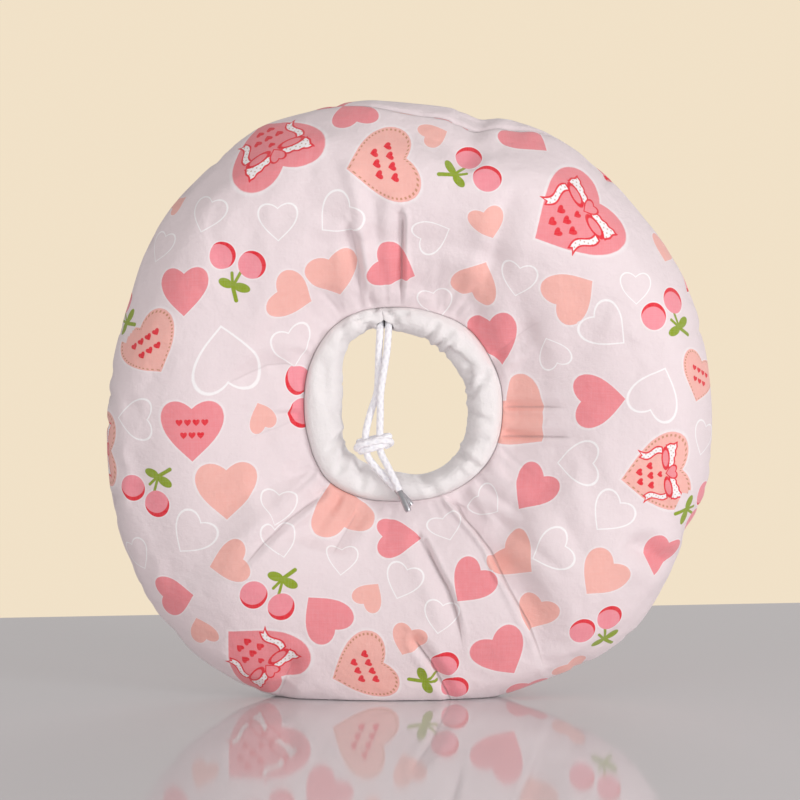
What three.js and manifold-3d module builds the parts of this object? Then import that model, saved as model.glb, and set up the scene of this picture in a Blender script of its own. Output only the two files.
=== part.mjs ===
// A soft recovery collar for a cat: a stuffed cotton ring that stands on its flattened rim,
// with a white drawstring casing round the neck hole and a knotted cord with two metal tips.
// Millimetres, +Z up, the ring's faces look along -Y and +Y, and it rests on Z = 0.
import * as THREE from "three";
import { mergeVertices } from "three/addons/utils/BufferGeometryUtils.js";
import Module from "manifold-3d";

// The ring
const RING_RADIUS = 150;
const RING_THICKNESS = 68;
const RING_SWELL = 1.4;
const RING_FULLNESS = 0.86;
const COVER_CLOTH = 1.2;
const SEAM_GAP = 0.3;

// The neck hole, and how far it lies off the ring's centre
const NECK_SEAM_RADIUS = 50;
const NECK_SEAM_DEPTH = 24;
const NECK_OFFSET_X = -3.9;
const NECK_OFFSET_Z = -2.4;

// The drawstring casing
const OPENING_RADIUS = 35;
const CASING_DEPTH = 34;
const CASING_CLOTH = 1.2;
const CASING_SEAM_SQUARENESS = 4;
const CASING_HOLE_SQUARENESS = 2.2;
const SLIT_CLOCK = 347;
const SLIT_WIDTH = 10.4;

// The gathers along the neck seam and the puckers along the rim seam
const GATHER_COUNT = 20;
const GATHER_DEPTH = 1.3;
const GATHER_REACH = 16;
const PUCKER_COUNT = 16;
const PUCKER_DEPTH = 1.2;
const PUCKER_REACH = 9;

// The cord, its knot and its metal tips
const CORD_DIAMETER = 3.6;
const CORD_GAP = 0.85;
const KNOT_WIDTH = 21;
const KNOT_HEIGHT = 8.5;
const KNOT_DEPTH = 9;
const KNOT_LEAN = 14;
const TIP_LENGTH = 11;
const TIP_DIAMETER = 3.4;

// How finely the pieces are divided
const RING_STATIONS = 80;
const FACE_STATIONS = 9;
const CASING_STATIONS = 48;
const CASING_SIDES = 10;
const LOOP_STEPS = 30;
const CORD_SIDES = 8;
const TIP_SIDES = 12;

// Clock angles are degrees clockwise from the top, seen from the front.
// The rim's distance from the ring's centre, as a share of RING_RADIUS.
// The lowest rows reach under the floor, where the ring is pressed flat.
const RIM_OUTLINE = [
  { clock: 0, share: 0.996 },
  { clock: 8, share: 0.991 },
  { clock: 13, share: 0.979 },
  { clock: 18, share: 0.998 },
  { clock: 31, share: 1.01 },
  { clock: 49, share: 0.993 },
  { clock: 66, share: 0.996 },
  { clock: 85, share: 0.993 },
  { clock: 97, share: 1.005 },
  { clock: 106, share: 1.022 },
  { clock: 115, share: 1.016 },
  { clock: 124, share: 1.04 },
  { clock: 137, share: 1.071 },
  { clock: 148, share: 1.05 },
  { clock: 156, share: 1.034 },
  { clock: 166, share: 1.032 },
  { clock: 180, share: 1.045 },
  { clock: 192, share: 1.06 },
  { clock: 203, share: 1.082 },
  { clock: 212, share: 1.105 },
  { clock: 220, share: 1.112 },
  { clock: 229, share: 1.105 },
  { clock: 238, share: 1.078 },
  { clock: 247, share: 1.054 },
  { clock: 258, share: 1.021 },
  { clock: 270, share: 0.999 },
  { clock: 289, share: 0.989 },
  { clock: 300, share: 1.009 },
  { clock: 310, share: 1.022 },
  { clock: 321, share: 1.024 },
  { clock: 331, share: 1.038 },
  { clock: 341, share: 1.022 },
  { clock: 351, share: 1.017 },
];

// The neck seam, as a share of NECK_SEAM_RADIUS, and the hole left inside the casing,
// as a share of OPENING_RADIUS, both from the neck hole's own centre.
const NECK_OUTLINE = [
  { clock: 0, seam: 0.975, opening: 1.02 },
  { clock: 20, seam: 0.97, opening: 0.965 },
  { clock: 39, seam: 0.995, opening: 0.93 },
  { clock: 59, seam: 0.98, opening: 0.915 },
  { clock: 78, seam: 0.985, opening: 0.915 },
  { clock: 94, seam: 0.985, opening: 0.92 },
  { clock: 118, seam: 1.01, opening: 0.99 },
  { clock: 134, seam: 1.0, opening: 1.045 },
  { clock: 152, seam: 0.975, opening: 1.065 },
  { clock: 168, seam: 0.955, opening: 1.045 },
  { clock: 184, seam: 0.955, opening: 0.99 },
  { clock: 204, seam: 1.01, opening: 0.995 },
  { clock: 225, seam: 1.06, opening: 1.035 },
  { clock: 238, seam: 1.035, opening: 1.01 },
  { clock: 250, seam: 1.005, opening: 0.93 },
  { clock: 270, seam: 0.99, opening: 0.875 },
  { clock: 289, seam: 1.01, opening: 0.925 },
  { clock: 305, seam: 1.03, opening: 1.06 },
  { clock: 320, seam: 1.045, opening: 1.17 },
  { clock: 336, seam: 1.025, opening: 1.165 },
  { clock: 350, seam: 0.99, opening: 1.08 },
];

// Folds and dents in the two faces. Each runs between points given by clock angle and by how
// far out they lie from the neck seam (0) to the rim (1). Width is a share of RING_RADIUS and
// depth a share of half of RING_THICKNESS; a negative depth is a ridge.
const FOLDS = [
  { face: "front", path: [[155, 0.03], [153, 0.45], [154, 1]], width: 0.05, depth: 0.2 },
  { face: "front", path: [[146, 0.28], [142, 0.7]], width: 0.045, depth: 0.12 },
  { face: "front", path: [[174, 0.28], [169, 0.7]], width: 0.04, depth: 0.09 },
  { face: "front", path: [[180, 0.68], [174, 1]], width: 0.05, depth: 0.17 },
  { face: "front", path: [[225, 0.12], [227, 0.6]], width: 0.055, depth: 0.13 },
  { face: "front", path: [[238, 0.2], [240, 0.62]], width: 0.045, depth: 0.07 },
  { face: "front", path: [[342, 0.6], [335, 0.02]], width: 0.045, depth: -0.08 },
  { face: "front", path: [[327, 0.04], [331, 0.3]], width: 0.05, depth: 0.12 },
  { face: "front", path: [[357, 0.48], [354, 0.02]], width: 0.035, depth: 0.1 },
  { face: "front", path: [[26, 0.6], [31, 0.3], [40, 0.05]], width: 0.045, depth: 0.08 },
  { face: "front", path: [[91, 0.02], [91, 0.3]], width: 0.035, depth: 0.08 },
  { face: "front", path: [[108, 0.02], [101, 0.3]], width: 0.035, depth: 0.08 },
  { face: "front", path: [[292, 0.06], [276, 0.42]], width: 0.05, depth: 0.1 },
  { face: "front", path: [[122, 0.82], [122, 1]], width: 0.06, depth: 0.12 },
  { face: "front", path: [[13, 0.8], [13, 1]], width: 0.05, depth: 0.12 },
  { face: "back", path: [[20, 0.05], [24, 0.6]], width: 0.05, depth: 0.12 },
  { face: "back", path: [[70, 0.1], [66, 0.5]], width: 0.045, depth: 0.09 },
  { face: "back", path: [[124, 0.05], [130, 0.8]], width: 0.055, depth: 0.15 },
  { face: "back", path: [[186, 0.1], [190, 0.95]], width: 0.05, depth: 0.16 },
  { face: "back", path: [[243, 0.1], [238, 0.7]], width: 0.05, depth: 0.13 },
  { face: "back", path: [[300, 0.06], [306, 0.5]], width: 0.05, depth: 0.1 },
];

// The cord's chosen points, as x, y, z from the collar's foot: two strands come out of the
// slit at the top of the casing, hang to the knot, and two tails hang on to the metal tips.
const CORD_POINTS = {
  strandLeft: [
    [-15.7, -1.7, 188.8],
    [-15.7, -8.4, 188.4],
    [-15.7, -12.9, 183.6],
    [-16.2, -13.4, 174],
    [-16.5, -12.9, 164],
    [-17.2, -12.7, 154],
    [-20.4, -14.2, 144],
    [-22.8, -16.2, 133.4],
  ],
  strandRight: [
    [-11.3, -1.7, 189.4],
    [-11.4, -8.4, 188.8],
    [-11.5, -13.4, 183.6],
    [-12.3, -15.2, 174],
    [-13.9, -16.6, 164],
    [-15.3, -17.1, 154],
    [-15.5, -16.9, 144],
    [-15.7, -16.3, 133.8],
  ],
  tailLeft: [
    [-22.0, -16.8, 123.4],
    [-18.4, -17.8, 118.0],
    [-12.6, -19.1, 111.6],
    [-7.8, -19.6, 106.6],
  ],
  tailRight: [
    [-15.4, -17.0, 125.2],
    [-11.8, -20.0, 117.8],
    [-8.2, -22.5, 110.8],
    [-6.0, -23.6, 106.0],
  ],
  knot: [-18.6, -16.3, 129],
};

const COTTON_PRINT = { color: 0xecdee4, roughness: 0.85, metalness: 0 };
const COTTON_WHITE = { color: 0xf6f3f4, roughness: 0.85, metalness: 0 };
const FILL_WHITE = { color: 0xf1f1ef, roughness: 0.95, metalness: 0 };
const CORD_WHITE = { color: 0xf3f0fa, roughness: 0.8, metalness: 0 };
const TIP_METAL = { color: 0xb9bac0, roughness: 0.3, metalness: 0.9 };

const degrees = Math.PI / 180;
const coverHalf = RING_THICKNESS / 2;
const fillGap = COVER_CLOTH + SEAM_GAP;
const seamPhase = Math.asin((NECK_SEAM_DEPTH / RING_THICKNESS) ** (1 / RING_FULLNESS));
const neckCentre = { x: NECK_OFFSET_X, z: RING_RADIUS + NECK_OFFSET_Z };

// A smooth periodic curve through one column of a table of clock angles.
function readOutline(table, column, clock) {
  const count = table.length;
  const turned = ((clock % 360) + 360) % 360;
  let row = count - 1;
  while (row > 0 && table[row].clock > turned) {
    row -= 1;
  }
  const at = (index) => table[(index + count) % count][column];
  const start = table[row].clock;
  const end = row + 1 < count ? table[row + 1].clock : table[0].clock + 360;
  const t = (turned - start) / (end - start);
  const [before, from, to, after] = [at(row - 1), at(row), at(row + 1), at(row + 2)];
  const bend = 3 * (from - to) + after - before;
  return from + 0.5 * t * (to - before + t * (2 * before - 5 * from + 4 * to - after + t * bend));
}

function rimRadius(clock) {
  return RING_RADIUS * readOutline(RIM_OUTLINE, "share", clock);
}

function seamRadius(clock) {
  return NECK_SEAM_RADIUS * readOutline(NECK_OUTLINE, "seam", clock);
}

function openingRadius(clock) {
  return OPENING_RADIUS * readOutline(NECK_OUTLINE, "opening", clock);
}

// The flat place of a point on a face: share 0 is the neck seam and share 1 the rim.
function facePlace(clock, share) {
  const sine = Math.sin(clock * degrees);
  const cosine = Math.cos(clock * degrees);
  const neck = seamRadius(clock);
  const rim = rimRadius(clock);
  const startX = neckCentre.x + neck * sine;
  const startZ = neckCentre.z + neck * cosine;
  return new THREE.Vector2(
    startX + share * (rim * sine - startX),
    startZ + share * (RING_RADIUS + rim * cosine - startZ),
  );
}

function distanceToPath(place, path) {
  let nearest = Infinity;
  for (let i = 0; i + 1 < path.length; i += 1) {
    const from = path[i];
    const along = path[i + 1].clone().sub(from);
    const t = THREE.MathUtils.clamp(place.clone().sub(from).dot(along) / along.lengthSq(), 0, 1);
    nearest = Math.min(nearest, place.distanceTo(from.clone().addScaledVector(along, t)));
  }
  return nearest;
}

const foldPaths = FOLDS.map((fold) => ({
  face: fold.face,
  path: fold.path.map(([clock, out]) => facePlace(clock, out)),
  width: fold.width * RING_RADIUS,
  depth: fold.depth * coverHalf,
}));

// How far the cloth lies under the ring's plain round form: folds, gathers and puckers.
function faceDip(face, clock, place, share) {
  let dip = 0;
  for (const fold of foldPaths) {
    if (fold.face === face) {
      dip += fold.depth * Math.exp(-((distanceToPath(place, fold.path) / fold.width) ** 2));
    }
  }
  const span = rimRadius(clock) - seamRadius(clock);
  const turn = clock * degrees;
  const gather = Math.cos(GATHER_COUNT * turn + 0.7 * Math.sin(3 * turn));
  const pucker = Math.cos(PUCKER_COUNT * turn + 0.9 * Math.sin(2 * turn));
  dip += GATHER_DEPTH * gather * Math.exp(-(share * span) / GATHER_REACH);
  dip += PUCKER_DEPTH * pucker * Math.exp(-((1 - share) * span) / PUCKER_REACH);
  return dip;
}

// A point of the stuffed face before the floor presses it flat. Step runs 0 to 1 across it,
// from the neck seam, over the crown, to the rim.
function facePoint(face, clock, step) {
  const share = 1 - (1 - step) ** RING_SWELL;
  const place = facePlace(clock, share);
  const phase = seamPhase + (Math.PI - seamPhase) * step;
  const lift = Math.sin(phase) ** RING_FULLNESS;
  const rimEdge = Math.min(1, 3 * (1 - step));
  const depth = Math.max(0, coverHalf * lift - rimEdge * faceDip(face, clock, place, share));
  const side = face === "front" ? -1 : 1;
  return new THREE.Vector3(place.x, side * (depth + SEAM_GAP / 2), place.y);
}

// The unit direction from the face into the stuffing.
function faceInward(face, clock, step) {
  const before = facePoint(face, clock, Math.max(0, step - 0.02));
  const after = facePoint(face, clock, Math.min(1, step + 0.02));
  const outward = after.sub(before);
  const around = facePoint(face, clock + 1.5, step).sub(facePoint(face, clock - 1.5, step));
  const inward = outward.cross(around).normalize();
  return face === "front" ? inward : inward.negate();
}

// The face moved into the stuffing by some depth, kept off the other face and off the floor.
function innerPoint(face, clock, step, depth, middleGap) {
  const point = facePoint(face, clock, step);
  point.addScaledVector(faceInward(face, clock, step), depth);
  const side = face === "front" ? -1 : 1;
  point.y = side * Math.max(side * point.y, middleGap);
  point.z = Math.max(point.z, depth);
  return point;
}

function outerPoint(face, clock, step) {
  const point = facePoint(face, clock, step);
  point.z = Math.max(point.z, 0);
  return point;
}

// A closed geometry from rows of points. Each row is a closed loop of the same length, and
// the last row joins the first. From the column turnAt on, each square is split along its
// other diagonal, so that skins that run back under each other stay parallel.
function loftRows(rows, turnAt) {
  const positions = rows.flat().flatMap((point) => [point.x, point.y, point.z]);
  const sides = rows[0].length;
  const index = [];
  for (let i = 0; i < rows.length; i += 1) {
    const next = (i + 1) % rows.length;
    for (let j = 0; j < sides; j += 1) {
      const k = (j + 1) % sides;
      const [a, b, c, d] = [i * sides + j, next * sides + j, next * sides + k, i * sides + k];
      if (j < turnAt) {
        index.push(a, b, c, a, c, d);
      } else {
        index.push(a, b, d, b, c, d);
      }
    }
  }
  const geometry = new THREE.BufferGeometry();
  geometry.setAttribute("position", new THREE.Float32BufferAttribute(positions, 3));
  geometry.setIndex(index);
  return geometry;
}

function ringClocks(count) {
  return Array.from({ length: count }, (_, i) => (360 * i) / count);
}

const faceSteps = Array.from({ length: FACE_STATIONS + 1 }, (_, j) => j / FACE_STATIONS);

// One printed face: a cloth wall whose outer and inner skins meet at both seams.
function coverPanel(face) {
  const rows = ringClocks(RING_STATIONS).map((clock) => {
    const outer = faceSteps.map((step) => outerPoint(face, clock, step));
    const inner = faceSteps.map((step) => innerPoint(face, clock, step, COVER_CLOTH, SEAM_GAP / 2));
    return face === "front" ? [...outer, ...inner.reverse()] : [...inner, ...outer.reverse()];
  });
  return loftRows(rows, FACE_STATIONS);
}

// The stuffing: a plump ring that follows both faces from the inside, with a plain wall
// behind the casing.
function fillingBody() {
  const before = faceSteps.slice(0, -1);
  const rows = ringClocks(RING_STATIONS).map((clock) => {
    const rim = innerPoint("front", clock, 1, fillGap, 0);
    rim.y = 0;
    const front = before.map((step) => innerPoint("front", clock, step, fillGap, SEAM_GAP));
    const back = before.map((step) => innerPoint("back", clock, step, fillGap, SEAM_GAP));
    return [...front, rim, ...back.reverse()];
  });
  return loftRows(rows, FACE_STATIONS);
}

// The casing's section at a clock angle: its middle, half width and half depth.
function casingSection(clock) {
  const outer = seamRadius(clock) - SEAM_GAP;
  const inner = openingRadius(clock);
  return { middle: (outer + inner) / 2, width: (outer - inner) / 2, depth: CASING_DEPTH / 2 };
}

function neckPoint(clock, radius, y) {
  return new THREE.Vector3(
    neckCentre.x + radius * Math.sin(clock * degrees),
    y,
    neckCentre.z + radius * Math.cos(clock * degrees),
  );
}

// The casing's section is flat along the seam and round towards the hole.
function casingCorner(angle) {
  const cosine = Math.cos(angle);
  const sine = Math.sin(angle);
  const power = 2 / (cosine > 0 ? CASING_SEAM_SQUARENESS : CASING_HOLE_SQUARENESS);
  return [
    Math.sign(cosine) * Math.abs(cosine) ** power,
    Math.sign(sine) * Math.abs(sine) ** power,
  ];
}

// The clock angles of the casing's two ends, either side of the slit.
const slitRadius = casingSection(SLIT_CLOCK).middle;
const slitHalfAngle = SLIT_WIDTH / 2 / slitRadius / degrees;
const casingStart = SLIT_CLOCK + slitHalfAngle;
const casingTurn = 360 - 2 * slitHalfAngle;

// The casing: a cloth tube round the hole, open at both ends, where the cord comes out.
function casingTube() {
  const skin = (clock, wall) => {
    const section = casingSection(clock);
    return Array.from({ length: CASING_SIDES }, (_, k) => {
      const [across, up] = casingCorner((2 * Math.PI * (k + 0.5)) / CASING_SIDES);
      const radius = section.middle + (section.width - wall) * across;
      return neckPoint(clock, radius, (section.depth - wall) * up);
    });
  };
  const clocks = Array.from(
    { length: CASING_STATIONS + 1 },
    (_, i) => casingStart + (casingTurn * i) / CASING_STATIONS,
  );
  const outer = clocks.map((clock) => skin(clock, 0));
  const inner = clocks.map((clock) => skin(clock, CASING_CLOTH)).reverse();
  return loftRows([...outer, ...inner], CASING_SIDES);
}

function cordSection(diameter) {
  const shape = new THREE.Shape();
  for (let k = 0; k < CORD_SIDES; k += 1) {
    const angle = (2 * Math.PI * (k + 0.5)) / CORD_SIDES;
    const corner = [(diameter / 2) * Math.cos(angle), (diameter / 2) * Math.sin(angle)];
    if (k === 0) {
      shape.moveTo(...corner);
    } else {
      shape.lineTo(...corner);
    }
  }
  shape.closePath();
  return shape;
}

function cordTube(points, steps) {
  const curve = new THREE.CatmullRomCurve3(points, false, "centripetal");
  return new THREE.ExtrudeGeometry(cordSection(CORD_DIAMETER), {
    steps,
    bevelEnabled: false,
    extrudePath: curve,
  });
}

function chosenPoints(name) {
  return CORD_POINTS[name].map((point) => new THREE.Vector3(...point));
}

// The hidden stretch of cord lies along the casing's inner side, from slit to slit.
function hiddenLoop() {
  const inside = CASING_CLOTH + CORD_GAP + CORD_DIAMETER / 2;
  const points = Array.from({ length: LOOP_STEPS + 1 }, (_, i) => {
    const clock = casingStart + (casingTurn * i) / LOOP_STEPS;
    return neckPoint(clock, openingRadius(clock) + inside, 0);
  });
  return cordTube(points, LOOP_STEPS);
}

function solidFrom(wasm, geometry) {
  const plain = geometry.clone();
  plain.deleteAttribute("normal");
  plain.deleteAttribute("uv");
  const merged = mergeVertices(plain, 1e-4);
  return new wasm.Manifold(
    new wasm.Mesh({
      numProp: 3,
      vertProperties: new Float32Array(merged.attributes.position.array),
      triVerts: new Uint32Array(merged.index.array),
    }),
  );
}

function geometryFrom(solid) {
  const mesh = solid.getMesh();
  const geometry = new THREE.BufferGeometry();
  geometry.setAttribute("position", new THREE.Float32BufferAttribute(mesh.vertProperties, 3));
  geometry.setIndex(Array.from(mesh.triVerts));
  return geometry;
}

// The overhand knot: a leaning wrap of cord round a core of the two strands.
function knotBody(wasm) {
  const wrap = new THREE.TorusGeometry((KNOT_DEPTH - CORD_DIAMETER) / 2, CORD_DIAMETER / 2, 10, 18);
  wrap.scale(KNOT_WIDTH / KNOT_DEPTH, 1, 1.3);
  const core = new THREE.SphereGeometry(1, 14, 8);
  core.rotateX(Math.PI / 2);
  core.scale(KNOT_WIDTH / 2 - CORD_DIAMETER, KNOT_DEPTH / 2 - 0.6, KNOT_HEIGHT / 2);
  const geometry = geometryFrom(solidFrom(wasm, wrap).add(solidFrom(wasm, core)));
  geometry.rotateY(-KNOT_LEAN * degrees);
  geometry.translate(...CORD_POINTS.knot);
  return geometry;
}

// A metal tip on the last point of a tail, in line with the cord's end.
function tipBody(tail) {
  const points = chosenPoints(tail);
  const end = points[points.length - 1];
  const along = end.clone().sub(points[points.length - 2]).normalize();
  const tip = new THREE.CylinderGeometry(TIP_DIAMETER / 2, TIP_DIAMETER / 2, TIP_LENGTH, TIP_SIDES);
  tip.applyQuaternion(new THREE.Quaternion().setFromUnitVectors(new THREE.Vector3(0, 1, 0), along));
  const middle = end.clone().addScaledVector(along, SEAM_GAP + TIP_LENGTH / 2);
  return tip.translate(middle.x, middle.y, middle.z);
}

function namedMesh(name, geometry, look) {
  const mesh = new THREE.Mesh(geometry, new THREE.MeshStandardMaterial(look));
  mesh.name = name;
  return mesh;
}

const wasm = await Module();
wasm.setup();

const collar = new THREE.Group();
collar.add(
  namedMesh("front_panel", coverPanel("front"), COTTON_PRINT),
  namedMesh("back_panel", coverPanel("back"), COTTON_PRINT),
  namedMesh("filling", fillingBody(), FILL_WHITE),
  namedMesh("neck_casing", casingTube(), COTTON_WHITE),
  namedMesh("drawstring_loop", hiddenLoop(), CORD_WHITE),
  namedMesh("strand_left", cordTube(chosenPoints("strandLeft"), 8), CORD_WHITE),
  namedMesh("strand_right", cordTube(chosenPoints("strandRight"), 8), CORD_WHITE),
  namedMesh("knot", knotBody(wasm), CORD_WHITE),
  namedMesh("tail_left", cordTube(chosenPoints("tailLeft"), 3), CORD_WHITE),
  namedMesh("tail_right", cordTube(chosenPoints("tailRight"), 3), CORD_WHITE),
  namedMesh("tip_left", tipBody("tailLeft"), TIP_METAL),
  namedMesh("tip_right", tipBody("tailRight"), TIP_METAL),
);

export default collar;
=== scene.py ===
"""A soft recovery collar for a cat: a stuffed ring of printed cotton that stands on its
flattened rim, with a white drawstring casing round the neck hole, a knotted cord and two
metal cord tips. Metres, +Z up, the front face looks along -Y.
"""

import functools
import math

import bmesh
import bpy
import numpy as np
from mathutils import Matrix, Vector

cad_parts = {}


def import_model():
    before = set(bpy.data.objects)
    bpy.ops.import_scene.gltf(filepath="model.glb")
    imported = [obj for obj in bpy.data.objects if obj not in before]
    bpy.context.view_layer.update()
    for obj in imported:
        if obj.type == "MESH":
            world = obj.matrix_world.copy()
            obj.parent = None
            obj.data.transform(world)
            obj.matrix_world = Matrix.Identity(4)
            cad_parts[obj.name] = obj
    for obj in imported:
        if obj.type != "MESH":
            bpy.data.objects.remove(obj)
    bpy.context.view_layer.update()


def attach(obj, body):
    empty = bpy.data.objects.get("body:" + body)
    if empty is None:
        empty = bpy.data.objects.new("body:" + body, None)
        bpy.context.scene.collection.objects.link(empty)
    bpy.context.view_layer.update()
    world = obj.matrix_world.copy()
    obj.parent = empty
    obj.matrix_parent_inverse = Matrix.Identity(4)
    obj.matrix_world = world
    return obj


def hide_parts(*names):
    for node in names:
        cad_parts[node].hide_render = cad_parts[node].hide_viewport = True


MM = 0.001

# The ring, as the solids have it
RING_RADIUS = 150 * MM
RING_THICKNESS = 68 * MM
RING_SWELL = 1.4
RING_FULLNESS = 0.86
NECK_SEAM_RADIUS = 50 * MM
NECK_SEAM_DEPTH = 24 * MM
NECK_OFFSET_X = -3.9 * MM
NECK_OFFSET_Z = -2.4 * MM

# The casing, with its way round the section in millimetres
OPENING_RADIUS = 35 * MM
CASING_DEPTH = 34 * MM
CASING_CLOTH = 1.0 * MM
CASING_SEAM_SQUARENESS = 4
CASING_HOLE_SQUARENESS = 2.2
NECK_BAND_RADIUS = 43 * MM
CASING_ROUND = 84
HIDDEN_CORD_INSET = 3.85 * MM
SEAM_GAP = -0.6 * MM
SLIT_CLOCK = 347
SLIT_WIDTH = 8.6 * MM

# The cord
CORD_DIAMETER = 3.6 * MM
TIP_LENGTH = 11 * MM
TIP_DIAMETER = 3.4 * MM

# How finely the soft pieces are divided
RING_STATIONS = 240
FACE_STATIONS = 42
WALL_STATIONS = 6
WALL_CLEARANCE = 1.6 * MM
SEAM_STEP = 0.002
CASING_STATIONS = 320
CASING_SIDES = 44

# The simulation of the stuffed cloth
STUFFING_PRESSURE = 4.0
CLOTH_FRAMES = 20
CLOTH_SPARE = -0.05
CLOTH_MASS = 0.15
CLOTH_STIFFNESS = 15
CLOTH_SHEAR = 5
CLOTH_BENDING = 0.05
SEAM_HELD = 0.015
CREASE_LOSS = 0.85
FLOOR_BULGE = 0.25
MOST_SWELL = 5 * MM
EVEN_SWELL_KEPT = 0.15

# Clock angles are degrees clockwise from the top, seen from the front.
# The rim's distance from the ring's centre, as a share of RING_RADIUS.
RIM_OUTLINE = (
    (0, 0.996), (8, 0.991), (13, 0.979), (18, 0.998), (31, 1.01), (49, 0.993),
    (66, 0.996), (85, 0.993), (97, 1.005), (106, 1.022), (115, 1.016), (124, 1.04),
    (137, 1.071), (148, 1.05), (156, 1.034), (166, 1.032), (180, 1.045), (192, 1.06),
    (203, 1.082), (212, 1.105), (220, 1.112), (229, 1.105), (238, 1.078), (247, 1.054),
    (258, 1.021), (270, 0.999), (289, 0.989), (300, 1.009), (310, 1.022), (321, 1.024),
    (331, 1.038), (341, 1.022), (351, 1.017),
)

# At the top the rim's seam lies on the front, so that a strip of the back panel shows there:
# its middle and half spread as clock angles, and how far it goes as a share of a face.
SEAM_FORWARD_CLOCK = 6
SEAM_FORWARD_SPREAD = 19
SEAM_FORWARD = 0.11

# The neck seam as a share of NECK_SEAM_RADIUS, and the hole as a share of OPENING_RADIUS.
NECK_OUTLINE = (
    (0, 0.975, 1.02), (20, 0.97, 0.965), (39, 0.995, 0.93), (59, 0.98, 0.915),
    (78, 0.985, 0.915), (94, 0.985, 0.92), (118, 1.01, 0.99), (134, 1.0, 1.045),
    (152, 0.975, 1.065), (168, 0.955, 1.045), (184, 0.955, 0.99), (204, 1.01, 0.995),
    (225, 1.06, 1.035), (238, 1.035, 1.01), (250, 1.005, 0.93), (270, 0.99, 0.875),
    (289, 1.01, 0.925), (305, 1.03, 1.06), (320, 1.045, 1.17), (336, 1.025, 1.165),
    (350, 0.99, 1.08),
)

# Folds: the face, the path as clock angle and share from neck seam to rim, the half width
# and depth in millimetres, how much the cloth piles up beside the fold, how much steeper
# its clockwise side is, and how sharply it is creased.
FOLDS = (
    (
        "front",
        ((155, 0.0), (152.6, 0.09), (149.9, 0.3), (151.1, 0.5), (151.6, 0.72), (153.2, 0.95)),
        5.4, 6.0, 0.34, 0.8, 1.0,
    ),
    ("front", ((147, 0.34), (148, 0.6), (149, 0.86)), 10.0, 2.6, 0.1, 0.0, 0.0),
    (
        "front",
        ((172, 0.2), (169.2, 0.32), (167.1, 0.43), (166.7, 0.55), (167.5, 0.72)),
        2.8, 2.8, 0.4, -0.6, 0.85,
    ),
    ("front", ((141, 0.24), (138, 0.44), (136, 0.62)), 6.0, 2.6, 0.3, 0.3, 0.0),
    ("front", ((126, 0.42), (131, 0.66)), 6.0, 2.2, 0.3, 0.0, 0.0),
    ("front", ((178.5, 0.64), (175.2, 0.76), (172.8, 0.9), (172, 0.99)), 2.4, 3.2, 0.4, 0.3, 1.0),
    ("front", ((223, 0.06), (225.5, 0.26), (226, 0.4), (225.5, 0.56)), 2.8, 2.6, 0.5, -0.4, 0.6),
    ("front", ((213, 0.04), (215, 0.3)), 7.0, 1.8, 0.3, 0.0, 0.0),
    ("front", ((238, 0.1), (240, 0.3), (241, 0.6)), 6.0, 1.6, 0.4, 0.3, 0.0),
    ("front", ((346.6, 0.66), (346, 0.4), (345, 0.2), (342, 0.02)), 5.0, -2.2, 0.0, 0.0, 0.0),
    ("front", ((342.6, 0.36), (341.4, 0.2), (337.4, 0.04)), 3.0, 3.4, 0.3, -0.4, 0.45),
    ("front", ((322, 0.02), (326, 0.22)), 9.0, 3.4, 0.0, 0.0, 0.0),
    ("front", ((358.8, 0.44), (358.6, 0.2), (358.4, 0.0)), 2.6, 2.8, 0.5, -0.6, 0.9),
    ("front", ((351, 0.5), (350, 0.2), (349, 0.02)), 4.0, 1.8, 0.3, 0.0, 0.0),
    ("front", ((26, 0.6), (31, 0.3), (40, 0.05)), 5.0, 2.2, 0.3, 0.2, 0.0),
    ("front", ((91, 0.0), (91, 0.3)), 1.8, 1.7, 0.4, 0.3, 0.6),
    ("front", ((108, 0.0), (101, 0.34)), 1.8, 1.9, 0.4, 0.3, 0.7),
    ("front", ((292, 0.04), (286, 0.2), (276, 0.42)), 5.5, 2.8, 0.3, 0.2, 0.3),
    ("front", ((122, 0.8), (122, 1.0)), 5.0, 4.2, 0.3, 0.0, 0.0),
    ("front", ((13, 0.97), (13, 1.0)), 4.0, 2.8, 0.3, 0.0, 0.0),
    ("front", ((204, 0.82), (204, 1.0)), 4.0, 2.8, 0.3, 0.0, 0.3),
    ("front", ((136, 0.06), (133, 0.3)), 3.6, 2.2, 0.3, 0.3, 0.0),
    ("front", ((203, 0.06), (206, 0.3)), 4.0, 2.2, 0.3, 0.0, 0.3),
    ("front", ((60, 0.04), (58, 0.3)), 4.0, 2.0, 0.3, 0.0, 0.2),
    ("front", ((262, 0.04), (258, 0.3)), 4.0, 1.6, 0.3, 0.0, 0.2),
    ("back", ((20, 0.03), (24, 0.6)), 5.0, 4.2, 0.3, 0.4, 0.6),
    ("back", ((70, 0.05), (66, 0.5)), 5.0, 3.0, 0.3, 0.0, 0.3),
    ("back", ((124, 0.03), (130, 0.8)), 5.5, 5.2, 0.3, 0.5, 0.9),
    ("back", ((186, 0.05), (190, 0.9)), 5.0, 5.4, 0.3, -0.4, 0.9),
    ("back", ((243, 0.05), (238, 0.7)), 5.0, 4.4, 0.3, 0.3, 0.6),
    ("back", ((300, 0.03), (306, 0.5)), 5.0, 3.4, 0.3, 0.0, 0.3),
    ("back", ((338, 0.03), (334, 0.4)), 4.0, 2.8, 0.3, 0.0, 0.3),
)

# Small chance folds at the neck seam and at the rim: how many each face has, then the least
# and most reach, half width and depth in millimetres.
NECK_GATHERS = (54, (4, 22), (0.9, 2.2), (0.3, 1.2))
NECK_GATHER_SLANT = 0.35
RIM_PUCKERS = (46, (4, 16), (1.6, 4.0), (0.4, 1.6))

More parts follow.
